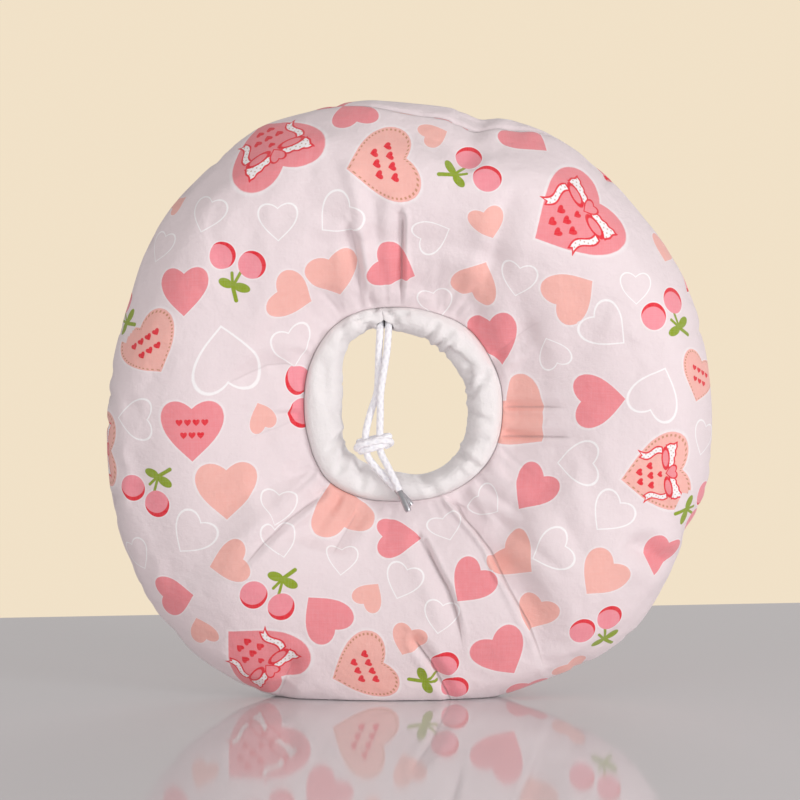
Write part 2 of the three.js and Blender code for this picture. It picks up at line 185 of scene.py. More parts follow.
# How the folds end: the cloth's length from the neck to the rim, the share of a fold's depth
# that is lost at the rim, how near the neck seam holds the cloth, and the sunken rim seam.
NECK_TO_RIM = 115 * MM
RIM_FOLD_LOSS = 0.6
NECK_HOLD = 2.2 * MM
SEAM_SINK = 0.9 * MM
SEAM_SINK_STEP = 0.012

# Folds of the casing's front: the path as clock angle and share from the hole's edge to the
# seam, then the half width and depth in millimetres.
CASING_FOLDS = (
    (((40, 0.15), (58, 0.35), (73, 0.05)), 1.9, 2.3),
    (((68, 0.75), (83, 0.05)), 1.5, 1.9),
    (((20, 0.05), (22, 0.6)), 1.5, 1.7),
    (((30, 0.0), (33, 0.55)), 1.6, 1.9),
    (((38, 0.05), (37, 0.5)), 1.4, 1.6),
    (((297, 0.6), (280, 0.4), (263, 0.13)), 3.0, 1.7),
    (((232, 0.0), (225, 0.5)), 1.9, 2.0),
    (((243, 0.0), (240, 0.4)), 1.7, 1.8),
    (((215, 0.05), (208, 0.55)), 2.2, 1.8),
    (((190, 0.1), (186, 0.6)), 2.6, 1.3),
    (((165, 0.05), (160, 0.7)), 2.3, 1.6),
    (((131, 0.0), (130, 0.75)), 1.9, 2.5),
    (((118, 0.05), (112, 0.5)), 2.0, 1.5),
    (((97, 0.05), (100, 0.5)), 1.9, 1.4),
    (((318, 0.2), (322, 0.8)), 2.4, 1.5),
    (((336, 0.1), (333, 0.7)), 1.9, 1.9),
    (((350, 0.95), (356, 0.3)), 1.2, 1.5),
    (((344, 0.95), (338, 0.3)), 1.2, 1.5),
    (((352, 0.5), (2, 0.75)), 1.2, 1.4),
    (((343, 0.55), (333, 0.8)), 1.2, 1.4),
)

# Chance gathers of the casing: how many, then the least and most of the clock angle, half
# width in degrees, lean, middle round the section in half turns, spread in radians and
# depth in millimetres.
CASING_GATHERS = 70
CASING_GATHER_RANGES = ((0, 360), (1.2, 3.6), (-7, 7), (0.65, 1.5), (0.35, 0.9), (-0.4, 0.8))

# The slit's lips: how far from it they still draw together, how close they come and how
# much the casing flattens there
SLIT_REACH = 6 * MM
SLIT_LIP = 0.08 * MM
SLIT_FLATTENING = 0.25

# The cord's chosen points in millimetres, as the solids have them.
STRAND_LEFT = (
    (-15.7, -1.7, 188.8), (-15.7, -8.4, 188.4), (-15.7, -12.9, 183.6), (-16.2, -13.4, 174),
    (-16.5, -12.9, 164), (-17.2, -12.7, 154), (-20.4, -14.2, 144), (-22.8, -16.2, 133.4),
)
STRAND_RIGHT = (
    (-11.3, -1.7, 189.4), (-11.4, -8.4, 188.8), (-11.5, -13.4, 183.6), (-12.3, -15.2, 174),
    (-13.9, -16.6, 164), (-15.3, -17.1, 154), (-15.5, -16.9, 144), (-15.7, -16.3, 133.8),
)
TAIL_LEFT = (
    (-22.0, -16.8, 123.4), (-18.4, -17.8, 118.0), (-12.6, -19.1, 111.6), (-7.8, -19.6, 106.6),
)
TAIL_RIGHT = (
    (-15.4, -17.0, 125.2), (-11.8, -20.0, 117.8), (-8.2, -22.5, 110.8), (-6.0, -23.6, 106.0),
)
KNOT_PLACE = (-18.6, -16.3, 129)

# The knot's two turns round the strands, each from so many points: lift, half width, half
# depth, lean, start angle and how often round. Then the bight that locks them, as points
# from the knot's middle.
KNOT_TURN_POINTS = 14
KNOT_TURNS = ((1.7, 7.4, 3.5, 13, 130, 1.15), (-1.8, 6.6, 3.3, 15, 95, 1.1))
KNOT_BIGHT = (
    (-6.2, 1.5, -2.6), (-8.4, -1.2, -2.3), (-7.0, -3.6, -0.6), (-2.5, -4.3, 0.6),
    (3.0, -4.0, 1.6), (7.2, -2.6, 1.4), (8.2, 0.4, 0.2), (5.6, 2.6, -1.4),
)

# The braid's plaits: their length, their height as a share of the radius and the distance
# between the braid's rings of points
PLAIT_LENGTH = 4.4 * MM
PLAIT_RISE = 0.045
BRAID_STEP = 0.33 * MM

# The metal tip: where its crimped ends start as a share of its length from the middle, their
# width as a share, its rounded edge and the gap between the cord and the tip
TIP_WAIST = 0.36
TIP_CRIMP = 0.86
TIP_EDGE = 0.25 * MM
TIP_GAP = 0.3 * MM

# The print, charted in units of HALF_UNIT right of and above the ring's centre, with the clock
# angle that the tip points to (for cherries, away from the leaves) and the width.
PINK, SALMON, OUTLINE, PINK_CHARMS, DOTTED, PINK_BOW, DOTTED_BOW, CHERRIES, FLIPPED = range(1, 10)
PRINT = (
    (PINK_BOW, -138, 257, 331, 100), (PINK_BOW, 162, 187, 242, 99),
    (DOTTED_BOW, 246, -70, 262, 80), (PINK_BOW, -152, -257, 316, 94),
    (DOTTED_BOW, -311, -47, 270, 80),
    (DOTTED, -29, 240, 257, 84), (DOTTED, -261, 58, 150, 74), (DOTTED, -49, -270, 249, 78),
    (DOTTED, 286, 24, 200, 62), (PINK_CHARMS, -219, -28, 180, 63),
    (PINK, -226, 113, 180, 50), (PINK, -58, 290, 342, 48), (PINK, 119, 267, 134, 54),
    (PINK, -18, 133, 115, 46), (PINK, 84, 62, 166, 52), (PINK, 187, 2, 85, 53),
    (PINK, 121, -89, 217, 48), (PINK, -12, -138, 91, 44), (PINK, 60, -182, 217, 46),
    (PINK, 92, -254, 148, 56), (PINK, -87, -215, 320, 50), (PINK, -234, -194, 79, 44),
    (PINK, 249, -153, 200, 44), (PINK, 115, -290, 180, 48),
    (SALMON, -118, 105, 112, 50), (SALMON, -77, 125, 162, 52), (SALMON, -150, -15, 338, 32),
    (SALMON, -185, -89, 180, 62), (SALMON, -183, -160, 258, 42), (SALMON, -72, -108, 348, 62),
    (SALMON, -41, -194, 36, 31), (SALMON, -208, -228, 343, 33), (SALMON, -3, -240, 200, 35),
    (SALMON, 23, 273, 66, 32), (SALMON, 76, 180, 163, 36), (SALMON, 65, 120, 26, 46),
    (SALMON, 159, 109, 56, 54), (SALMON, 252, 151, 200, 36), (SALMON, 110, -18, 134, 72),
    (SALMON, 105, -156, 131, 50), (SALMON, 127, -215, 200, 42), (SALMON, 193, -174, 221, 50),
    (SALMON, 160, -267, 150, 40), (SALMON, -230, 197, 60, 26),
    (OUTLINE, -200, 187, 200, 40), (OUTLINE, -131, 180, 180, 40), (OUTLINE, -72, 186, 228, 46),
    (OUTLINE, -185, 44, 353, 72), (OUTLINE, -118, 54, 160, 44), (OUTLINE, -275, -15, 270, 44),
    (OUTLINE, -133, -106, 190, 38), (OUTLINE, -132, -139, 170, 38),
    (OUTLINE, -220, -132, 216, 46), (OUTLINE, -270, -152, 150, 36),
    (OUTLINE, -70, -160, 186, 33), (OUTLINE, -8, -181, 200, 38), (OUTLINE, 34, -127, 160, 34),
    (OUTLINE, 74, -101, 130, 34), (OUTLINE, 30, -216, 190, 36), (OUTLINE, 166, -61, 270, 46),
    (OUTLINE, 200, -111, 219, 44), (OUTLINE, 143, -150, 248, 44), (OUTLINE, 21, 165, 68, 38),
    (OUTLINE, 106, 122, 190, 38), (OUTLINE, 193, 75, 131, 49), (OUTLINE, 141, 49, 337, 34),
    (OUTLINE, 244, 12, 20, 56), (OUTLINE, 290, -36, 200, 38), (OUTLINE, 222, 115, 180, 34),
    (OUTLINE, 24, 97, 170, 34), (OUTLINE, -247, 155, 200, 36),
    (CHERRIES, -172, 143, 10, 27), (FLIPPED, 68, 239, 68, 28), (CHERRIES, 250, 95, 318, 27),
    (FLIPPED, -266, -93, 217, 27), (FLIPPED, -144, -199, 213, 27), (FLIPPED, 40, -276, 78, 28),
    (CHERRIES, 187, -222, 330, 27), (FLIPPED, -112, 4, 270, 27), (CHERRIES, 284, -105, 100, 27),
    (CHERRIES, -292, 88, 300, 27),
)
HALF_UNIT = 0.499 * MM
BACK_TURN = 137
HEART_HEIGHTS = {
    PINK: 0.94, SALMON: 0.88, OUTLINE: 0.93, PINK_CHARMS: 0.93, DOTTED: 0.79, PINK_BOW: 0.88,
    DOTTED_BOW: 0.92, CHERRIES: 1.0, FLIPPED: 1.0,
}
HEART_LOBES = 0.68
HEART_BLUNTNESS = 1.4
HEART_SINK = 0.13
HEART_STRETCH = 1.13

# The cherries, in units of one cherry's radius: their centres, the centres of their lighter
# part, the fork of the stem, its strokes with half widths, and the leaves with half widths
# and turns.
CHERRY_CENTRES = ((-1.12, 0.17), (1.12, -0.17))
CHERRY_LIGHTS = ((-1.34, -0.04), (0.86, -0.36))
STEM_FORK = (0.0, -1.94)
STEMS = (((-0.2, -0.99), 0.11), ((0.42, -0.81), 0.11), ((0.4, -2.92), 0.15))
LEAVES = (((-0.55, -1.78), (0.58, 0.33), -16), ((0.66, -1.93), (0.62, 0.34), -6))

# Rows of tiny hearts: their height in the motif, how many, their spacing and half width
CHARM_ROWS = ((0.29, 4, 0.27, 0.11), (-0.14, 3, 0.27, 0.11))
BOW_ROWS = ((0.06, 1, 0.24, 0.075), (-0.22, 3, 0.24, 0.09), (-0.52, 2, 0.24, 0.09))
BORDER_DOTS = 46.0

# The threads of the plain weave, as radians of a wave for each millimetre
WEAVE_WAVE = 11.0

# Finishes and painted shades, as linear colours
CLOTH_WHITE = (0.80, 0.69, 0.71, 1)
PRINT_PINK = (0.84, 0.26, 0.288, 1)
PRINT_SALMON = (0.88, 0.455, 0.40, 1)
PRINT_RED = (0.76, 0.014, 0.03, 1)
PRINT_CHERRY = (0.87, 0.28, 0.33, 1)
PRINT_GREEN = (0.25, 0.34, 0.008, 1)
PRINT_LINE = (0.92, 0.885, 0.895, 1)
# Painted shade for the bottoms of the sharp creases
CREASE_SHADE = (0.36, 0.24, 0.25, 1)
PRINT_DOT = (0.50, 0.22, 0.10, 1)
PRINT_FADED = (0.93, 0.9, 0.915, 1)
COTTON_WHITE = (0.87, 0.83, 0.825, 1)
COTTON_SHADE = (0.79, 0.75, 0.765, 1)
CORD_WHITE = (0.94, 0.925, 0.955, 1)
# Painted shade for the hollows between the braid's plaits
CORD_SHADE = (0.84, 0.82, 0.89, 1)
TIP_GREY = (0.42, 0.42, 0.45, 1)
TIP_RUBBED = (0.58, 0.58, 0.6, 1)
WALL_CREAM = (0.88, 0.755, 0.575, 1)
ROOM_LIGHT = (1.0, 0.97, 0.95, 1)
TABLE_PALE = (0.72, 0.685, 0.70, 1)
TABLE_ROUGHNESS = 0.07
PRINTED_FINISH = {
    "Roughness": 0.82, "Sheen Weight": 0.25, "Sheen Roughness": 0.5, "Specular IOR Level": 0.25,
}
COTTON_FINISH = {"Roughness": 0.85, "Sheen Weight": 0.3, "Specular IOR Level": 0.25}
BRAID_FINISH = {"Roughness": 0.7, "Sheen Weight": 0.3}

# The table top's corners, and the room's even light
TABLE_TOP = ((-1.6, -1.2), (1.6, -1.2), (1.6, 0.56), (-1.6, 0.1))
TABLE_LOW = -0.0003
ROOM_STRENGTH = 0.46

# The soft lights: where they stand, how wide and how strong they are, and whether smooth
# surfaces mirror them
LIGHTS_AIM = (0, 0, 0.15)
LIGHTS = (
    ("key", (1.3, -1.1, 0.34), 0.6, 12, True),
    ("fill", (-1.2, -1.5, 0.3), 1.2, 7, False),
    ("low", (0.4, -1.8, 0.12), 1.0, 10.5, False),
    ("behind", (0.5, 2.0, 0.7), 1.6, 16, False),
)

# Where the camera looks, from how far and how high, and how wide it sees there
LOOK_AT = (-5.7 * MM, -10 * MM, 150.2 * MM)
CAMERA_DISTANCE = 1.7
CAMERA_RISE = 4.0
VIEW_WIDTH = 399.2 * MM
SENSOR_WIDTH = 36

COVER_HALF = RING_THICKNESS / 2
SEAM_PHASE = math.asin((NECK_SEAM_DEPTH / RING_THICKNESS) ** (1 / RING_FULLNESS))
RING_CENTRE = (0.0, RING_RADIUS)
NECK_CENTRE = (NECK_OFFSET_X, RING_RADIUS + NECK_OFFSET_Z)


def curve_point(before, here, after, beyond, t):
    """A place between the middle two of four points, on a smooth curve through them."""
    bend = 3 * (here - after) + beyond - before
    slope = after - before + t * (2 * before - 5 * here + 4 * after - beyond + t * bend)
    return here + 0.5 * t * slope


def read_outline(rows, column, clock):
    """A smooth closed curve through one column of a table of clock angles."""
    clock = np.asarray(clock, float) % 360
    stations = np.array([row[0] for row in rows], float)
    values = np.array([row[column] for row in rows], float)
    count = len(rows)
    row = (np.searchsorted(stations, clock, side="right") - 1) % count
    start = stations[row]
    end = np.where(row + 1 < count, stations[(row + 1) % count], stations[0] + 360)
    around = [values[(row + k) % count] for k in (-1, 0, 1, 2)]
    return curve_point(*around, (clock - start) / (end - start))


def place_around(centre, radius, clock):
    """The flat place at a clock angle and a distance from a centre."""
    turn = np.radians(clock)
    return centre[0] + radius * np.sin(turn), centre[1] + radius * np.cos(turn)


def clock_away(clock, middle):
    """Degrees clockwise from a clock angle, from -180 to 180."""
    return (clock - middle + 180) % 360 - 180


def face_place(clock, share):
    """The flat place on a face: share 0 is the neck seam and share 1 the rim."""
    x, z = place_around(NECK_CENTRE, NECK_SEAM_RADIUS * read_outline(NECK_OUTLINE, 1, clock), clock)
    rim_x, rim_z = place_around(RING_CENTRE, RING_RADIUS * read_outline(RIM_OUTLINE, 1, clock), clock)
    return x + share * (rim_x - x), z + share * (rim_z - z)


def face_share(step):
    """The share of the flat way from neck seam to rim at a step along the section."""
    return 1 - (1 - step) ** RING_SWELL


def face_lift(step):
    """How far a face stands from the ring's middle plane, from neck seam (0) to rim (1)."""
    phase = SEAM_PHASE + (math.pi - SEAM_PHASE) * step
    return COVER_HALF * np.sin(np.clip(phase, 0, math.pi)) ** RING_FULLNESS


# The cloth's length along the section, so that the print keeps its size over the edge
SECTION_STEPS = np.linspace(0, 1, 400)
SECTION_RADII = NECK_SEAM_RADIUS + face_share(SECTION_STEPS) * (RING_RADIUS - NECK_SEAM_RADIUS)
SECTION_LENGTHS = np.concatenate(
    ([0.0], np.cumsum(np.hypot(np.diff(SECTION_RADII), np.diff(face_lift(SECTION_STEPS)))))
)
CROWN = int(np.argmax(face_lift(SECTION_STEPS)))
SECTION_SPARE = SECTION_LENGTHS - SECTION_LENGTHS[CROWN] + SECTION_RADII[CROWN] - SECTION_RADII


def smooth_rise(value, start, end):
    t = np.clip((value - start) / (end - start), 0, 1)
    return t * t * (3 - 2 * t)


def deselect_all():
    for thing in bpy.context.selected_objects:
        thing.select_set(False)


def make_mesh_object(name, points, faces):
    mesh = bpy.data.meshes.new(name)
    mesh.from_pydata([tuple(p) for p in points], [], faces)
    mesh.update()
    thing = bpy.data.objects.new(name, mesh)
    bpy.context.scene.collection.objects.link(thing)
    return thing


def apply_modifier(thing, modifier):
    deselect_all()
    thing.select_set(True)
    bpy.context.view_layer.objects.active = thing
    bpy.ops.object.modifier_apply(modifier=modifier.name)


def shade_smooth(thing):
    thing.data.polygons.foreach_set("use_smooth", [True] * len(thing.data.polygons))


def grid_faces(rows, columns, closed_rows=True):
    """Four-sided faces over rows of points that run round closed sections."""
    faces = []
    for i in range(rows if closed_rows else rows - 1):
        here, there = i * columns, (i + 1) % rows * columns
        for j in range(columns):
            k = (j + 1) % columns
            faces.append((here + j, there + j, there + k, here + k))
    return faces


def read_values(items, name):
    """The three numbers that each vertex, or each item of an attribute, has by a name."""
    values = np.empty(len(items) * 3)
    items.foreach_get(name, values)
    return values.reshape(-1, 3)


def write_vectors(mesh, name, values):
    made = mesh.attributes.new(name, "FLOAT_VECTOR", "POINT")
    made.data.foreach_set("vector", np.ascontiguousarray(values, dtype=float).ravel())


def write_points(mesh, values):
    mesh.vertices.foreach_set("co", np.ascontiguousarray(values).ravel())
    mesh.update()


def corner_points(mesh):
    """The number of the point at each face corner."""
    corners = np.empty(len(mesh.loops), dtype=np.int64)
    mesh.loops.foreach_get("vertex_index", corners)
    return corners


def write_map(mesh, name, first, second):
    """A UV map from two numbers for each face corner."""
    made = mesh.uv_layers.new(name=name)
    made.data.foreach_set("uv", np.stack([first, second], axis=1).ravel())


# Camera


def place_camera():
    rise = math.radians(CAMERA_RISE)
    target = Vector(LOOK_AT)
    eye = target + Vector((0, -math.cos(rise), math.sin(rise))) * CAMERA_DISTANCE
    lens = bpy.data.cameras.new("camera")
    lens.sensor_width = SENSOR_WIDTH
    lens.lens = SENSOR_WIDTH * CAMERA_DISTANCE / VIEW_WIDTH
    camera = bpy.data.objects.new("camera", lens)
    camera.location = eye
    camera.rotation_euler = (target - eye).to_track_quat("-Z", "Y").to_euler()
    bpy.context.scene.collection.objects.link(camera)
    bpy.context.scene.camera = camera


# Cords


def smooth_line(points, per_span):
    """Points along a smooth curve through the given ones."""
    points = [np.array(p, float) for p in points]
    padded = [2 * points[0] - points[1], *points, 2 * points[-1] - points[-2]]
    line = []
    for i in range(1, len(padded) - 2):
        for t in np.arange(per_span) / per_span:
            line.append(curve_point(*padded[i - 1 : i + 3], t))
    line.append(points[-1])
    return np.array(line)


def line_length(line):
    return float(np.linalg.norm(np.diff(line, axis=0), axis=1).sum())


def even_line(line, count):
    lengths = np.concatenate(([0.0], np.cumsum(np.linalg.norm(np.diff(line, axis=0), axis=1))))
    wanted = np.linspace(0, lengths[-1], count)
    return np.stack([np.interp(wanted, lengths, line[:, k]) for k in range(3)], axis=1)


def braided_cord(name, line, diameter, sides=24):
    """A soft braid along a line, with the raised crossing plaits of its cover."""
    length = line_length(line)
    count = max(8, int(length / BRAID_STEP))
    line = even_line(line, count)
    along = np.gradient(line, axis=0)
    along /= np.linalg.norm(along, axis=1)[:, None]
    side = np.cross(along, (0.0, 1.0, 0.0))
    side /= np.linalg.norm(side, axis=1)[:, None]
    up = np.cross(side, along)
    angle = 2 * np.pi * np.arange(sides) / sides
    reach = np.linspace(0, length, count)
    turn = 2 * np.pi * reach[:, None] / PLAIT_LENGTH
    plait = np.maximum(np.sin(3 * angle[None, :] + turn), np.sin(3 * angle[None, :] - turn))
    radius = diameter / 2 * (1 - PLAIT_RISE + PLAIT_RISE * plait)
    points = (
        line[:, None, :]
        + side[:, None, :] * (radius * np.cos(angle)[None, :])[:, :, None]
        + up[:, None, :] * (radius * np.sin(angle)[None, :])[:, :, None]
    )
    faces = grid_faces(count, sides, closed_rows=False)
    faces.append(tuple(range(sides - 1, -1, -1)))
    faces.append(tuple((count - 1) * sides + k for k in range(sides)))
    cord = make_mesh_object(name, points.reshape(-1, 3), faces)
    corners = corner_points(cord.data)
    write_map(cord.data, "braid", reach[corners // sides] / PLAIT_LENGTH, corners % sides / sides)
    outward_faces(cord)
    shade_smooth(cord)
    return cord


def outward_faces(thing):
    work = bmesh.new()
    work.from_mesh(thing.data)
    bmesh.ops.recalc_face_normals(work, faces=work.faces)
    work.to_mesh(thing.data)
    work.free()


def metres(points):
    return [tuple(v * MM for v in p) for p in points]


def make_cords():
    """Each cord runs from the slit through the knot to its metal tip."""
    left = smooth_line(metres(STRAND_LEFT + TAIL_LEFT), 8)
    right = smooth_line(metres(STRAND_RIGHT + TAIL_RIGHT), 8)
    cord_left = braided_cord("cord_left", left, CORD_DIAMETER)
    cord_right = braided_cord("cord_right", right, CORD_DIAMETER)
    return (cord_left, left), (cord_right, right)


def knot_turn(lift, width, depth, lean, start, turns):
    """A turn of cord round the two strands, in millimetres from the knot's middle."""
    points = []
    for t in np.linspace(0, 1, KNOT_TURN_POINTS):
        angle = math.radians(start + 360 * turns * t)
        x = width * math.cos(angle)
        y = depth * math.sin(angle)
        z = lift + t - 0.5 + x * math.tan(math.radians(lean))
        points.append((x, y, z))
    return points


def make_knot():
    """An overhand knot: two turns of cord over each other and the bight that locks them."""
    upper, lower = (knot_turn(*turn) for turn in KNOT_TURNS)
    pieces = []
    for name, points, fullness in (
        ("knot_upper", upper, 1.0),
        ("knot_lower", lower, 1.0),
        ("cord_knot", KNOT_BIGHT, 1.02),
    ):
        placed = metres([np.add(KNOT_PLACE, point) for point in points])
        pieces.append(braided_cord(name, smooth_line(placed, 6), CORD_DIAMETER * fullness))
    deselect_all()
    for piece in pieces:
        piece.select_set(True)
    knot = pieces[-1]
    bpy.context.view_layer.objects.active = knot
    bpy.ops.object.join()
    return knot


def make_tip(name, tail):
    """A crimped metal tip on the end of a tail."""
    end = Vector(tail[-1]) * MM
    along = (end - Vector(tail[-2]) * MM).normalized()
    deselect_all()
    bpy.ops.mesh.primitive_cylinder_add(
        vertices=32, radius=TIP_DIAMETER / 2, depth=TIP_LENGTH, end_fill_type="NGON"
    )
    tip = bpy.context.object
    tip.name = name
    bpy.ops.object.mode_set(mode="EDIT")
    for height in (TIP_WAIST * TIP_LENGTH, -TIP_WAIST * TIP_LENGTH):
        bpy.ops.mesh.select_all(action="SELECT")
        bpy.ops.mesh.bisect(plane_co=(0, 0, height), plane_no=(0, 0, 1))
    bpy.ops.object.mode_set(mode="OBJECT")
    for vertex in tip.data.vertices:
        if abs(vertex.co.z) > 0.45 * TIP_LENGTH:
            vertex.co.x *= TIP_CRIMP
            vertex.co.y *= TIP_CRIMP
    bevel = tip.modifiers.new("edge", "BEVEL")
    bevel.width = TIP_EDGE
    bevel.segments = 3
    bevel.limit_method = "ANGLE"
    bevel.angle_limit = math.radians(20)
    apply_modifier(tip, bevel)
    turn = Vector((0, 0, 1)).rotation_difference(along).to_matrix().to_4x4()
    middle = end + along * (TIP_GAP + TIP_LENGTH / 2)
    tip.data.transform(turn)
    for vertex in tip.data.vertices:
        vertex.co += middle
    shade_smooth(tip)
    return tip


# The stuffed cover


def seam_forward(clock):
    turned = clock_away(clock, SEAM_FORWARD_CLOCK)
    return SEAM_FORWARD * np.exp(-((turned / SEAM_FORWARD_SPREAD) ** 4))


def cloth_over_face(clock, step):
    """Where a place on a face lies on the cloth when it is laid flat."""
    x, z = face_place(clock, face_share(step))
    spare = np.interp(step, SECTION_STEPS, SECTION_SPARE)
    turn = np.radians(clock)
    return x + spare * np.sin(turn), z - RING_CENTRE[1] + spare * np.cos(turn)


def ring_grid():
    """The cover's points before the cloth settles: front, rim, back and the neck wall."""
    clock = 360 * np.arange(RING_STATIONS) / RING_STATIONS
    steps = np.insert(np.linspace(0, 1, FACE_STATIONS + 1), 1, 0.006)
    sections = [("front", step, step) for step in steps]
    sections += [("back", step, 2 - step) for step in (1 - SEAM_STEP, *steps[-2::-1])]
    shift = seam_forward(clock)
    rim_x, rim_z = cloth_over_face(clock, np.ones_like(clock))
    grids = {"point": [], "cloth": [], "flat": []}
    for face, step, across in sections:
        way = step * (1 - shift) if face == "front" else 2 - step * (1 + shift)
        on_front = way < 1
        here = np.where(on_front, way, 2 - way)
        x, z = face_place(clock, face_share(here))
        y = np.where(on_front, -1, 1) * face_lift(here)
        cloth_x, cloth_z = cloth_over_face(clock, here)
        if face == "back":
            cloth_x = np.where(on_front, 2 * rim_x - cloth_x, cloth_x)
            cloth_z = np.where(on_front, 2 * rim_z - cloth_z, cloth_z)
        grids["point"].append(np.stack([x, y, z], axis=1))
        grids["cloth"].append(np.stack([cloth_x, cloth_z, np.full_like(x, across)], axis=1))
        grids["flat"].append(np.stack([x, z, np.full_like(x, step)], axis=1))
    seam_front = grids["point"][0]
    seam_back = grids["point"][-1]
    for k in range(1, WALL_STATIONS):
        t = k / WALL_STATIONS
        outward = seam_front * (1, 0, 1) - (NECK_CENTRE[0], 0, NECK_CENTRE[1])
        clear = WALL_CLEARANCE * math.sin(math.pi * t) / NECK_SEAM_RADIUS
        grids["point"].append(seam_back * (1 - t) + seam_front * t + clear * outward)
        grids["cloth"].append(grids["cloth"][0] * (1, 1, 0) + (0, 0, 2 + 0.1 * t))
        grids["flat"].append(grids["flat"][0].copy())
    return {key: np.stack(value, axis=1) for key, value in grids.items()}


def settle_cloth(cover):
    """Blows the stuffed cover up a little, so that the cloth takes its own tension."""
    start = read_values(cover.data.vertices, "co")
    across = read_values(cover.data.attributes["cloth"].data, "vector")[:, 2]
    held = cover.vertex_groups.new(name="seams")
    step = np.where(across < 1, across, 2 - across)
    for index in np.nonzero(step < SEAM_HELD)[0]:
        held.add([int(index)], 1.0, "REPLACE")
    cloth = cover.modifiers.new("stuffing", "CLOTH")
    cloth.settings.quality = 5
    cloth.settings.mass = CLOTH_MASS
    cloth.settings.tension_stiffness = CLOTH_STIFFNESS
    cloth.settings.compression_stiffness = CLOTH_STIFFNESS
    cloth.settings.shear_stiffness = CLOTH_SHEAR
    cloth.settings.bending_stiffness = CLOTH_BENDING
    cloth.settings.use_pressure = True
    cloth.settings.uniform_pressure_force = STUFFING_PRESSURE
    cloth.settings.shrink_min = CLOTH_SPARE
    cloth.settings.vertex_group_mass = "seams"
    cloth.settings.effector_weights.gravity = 0
    cloth.collision_settings.use_collision = False
    scene = bpy.context.scene
    for frame_number in range(1, CLOTH_FRAMES + 1):
        scene.frame_set(frame_number)
    settled = cover.evaluated_get(bpy.context.evaluated_depsgraph_get())
    moved = read_values(settled.data.vertices, "co") - start
    cover.modifiers.remove(cloth)
    cover.vertex_groups.remove(held)
    scene.frame_set(1)
    moved -= even_swell(moved)
    far = np.linalg.norm(moved, axis=1)
    moved *= (MOST_SWELL * np.tanh(far / MOST_SWELL) / np.maximum(far, 1e-9))[:, None]
    write_points(cover.data, start + moved)


def even_swell(moved):
    """Most of the part of the cloth's movement that is the same all round the ring."""
    grid = moved.reshape(RING_STATIONS, -1, 3)
    clock = 2 * np.pi * np.arange(RING_STATIONS)[:, None] / RING_STATIONS
    swell = (grid[:, :, 0] * np.sin(clock) + grid[:, :, 2] * np.cos(clock)).mean(axis=0)
    swell = swell * (1 - EVEN_SWELL_KEPT)
    forward = grid[:, :, 1].mean(axis=0) * (1 - EVEN_SWELL_KEPT)
    even = np.stack([swell * np.sin(clock), forward + 0 * clock, swell * np.cos(clock)], axis=2)
    return even.reshape(-1, 3)


def distance_to_path(x, z, path):
    """The distance to a path, the side of it (1 is its right) and the share of its length."""
    nearest = np.full(len(x), 9.0)
    right = np.zeros(len(x))
    reached = np.zeros(len(x))
    steps = [math.dist(a, b) for a, b in zip(path[:-1], path[1:])]
    for k, ((ax, az), (bx, bz)) in enumerate(zip(path[:-1], path[1:])):
        along_x, along_z = bx - ax, bz - az
        t = np.clip(((x - ax) * along_x + (z - az) * along_z) / steps[k] ** 2, 0, 1)
        away = np.hypot(x - ax - t * along_x, z - az - t * along_z)
        closer = away < nearest
        nearest = np.where(closer, away, nearest)
        right = np.where(closer, np.sign(along_z * (x - ax) - along_x * (z - az)), right)
        reached = np.where(closer, (sum(steps[:k]) + t * steps[k]) / sum(steps), reached)
    return nearest, right, reached


def on_face(face, across):
    """Whether places lie on a face: across runs from the front's neck seam to the back's."""
    return across <= 1 if face == "front" else across > 1


def long_folds(flat, across):
    """How far the charted folds draw each point in, and its place beside the nearest crease:
    the distance in millimetres and how sharp the crease is.
    """
    x, z = flat[:, 0], flat[:, 1]
    dip = np.zeros(len(x))
    beside = np.full(len(x), 9.0)
    sharpness = np.zeros(len(x))
    for face, path, width, depth, pile, lean, sharp in FOLDS:
        chosen = np.nonzero(on_face(face, across))[0]
        places = [tuple(float(v) for v in face_place(clock, share)) for clock, share in path]
        away, right, reached = distance_to_path(x[chosen], z[chosen], places)
        off = away / (width * MM * (1 - lean * right))
        crease = np.exp(-(off**1.5)) - pile * np.exp(-((off - 2.1) ** 2))
        dip[chosen] += depth * MM * crease * (1 - CREASE_LOSS * smooth_rise(reached, 0.6, 1.0))
        if not sharp:
            continue
        nearer = away / MM < np.abs(beside[chosen])
        own = chosen[nearer]
        beside[own] = (away * right)[nearer] / MM
        fade = smooth_rise(reached, 0.0, 0.12) * (1 - smooth_rise(reached, 0.75, 1.0))
        sharpness[own] = sharp * fade[nearer] * smooth_rise(np.abs(beside[own]), 2.7, 2.1)
    return dip, np.stack([beside, sharpness, 0 * beside], axis=1)


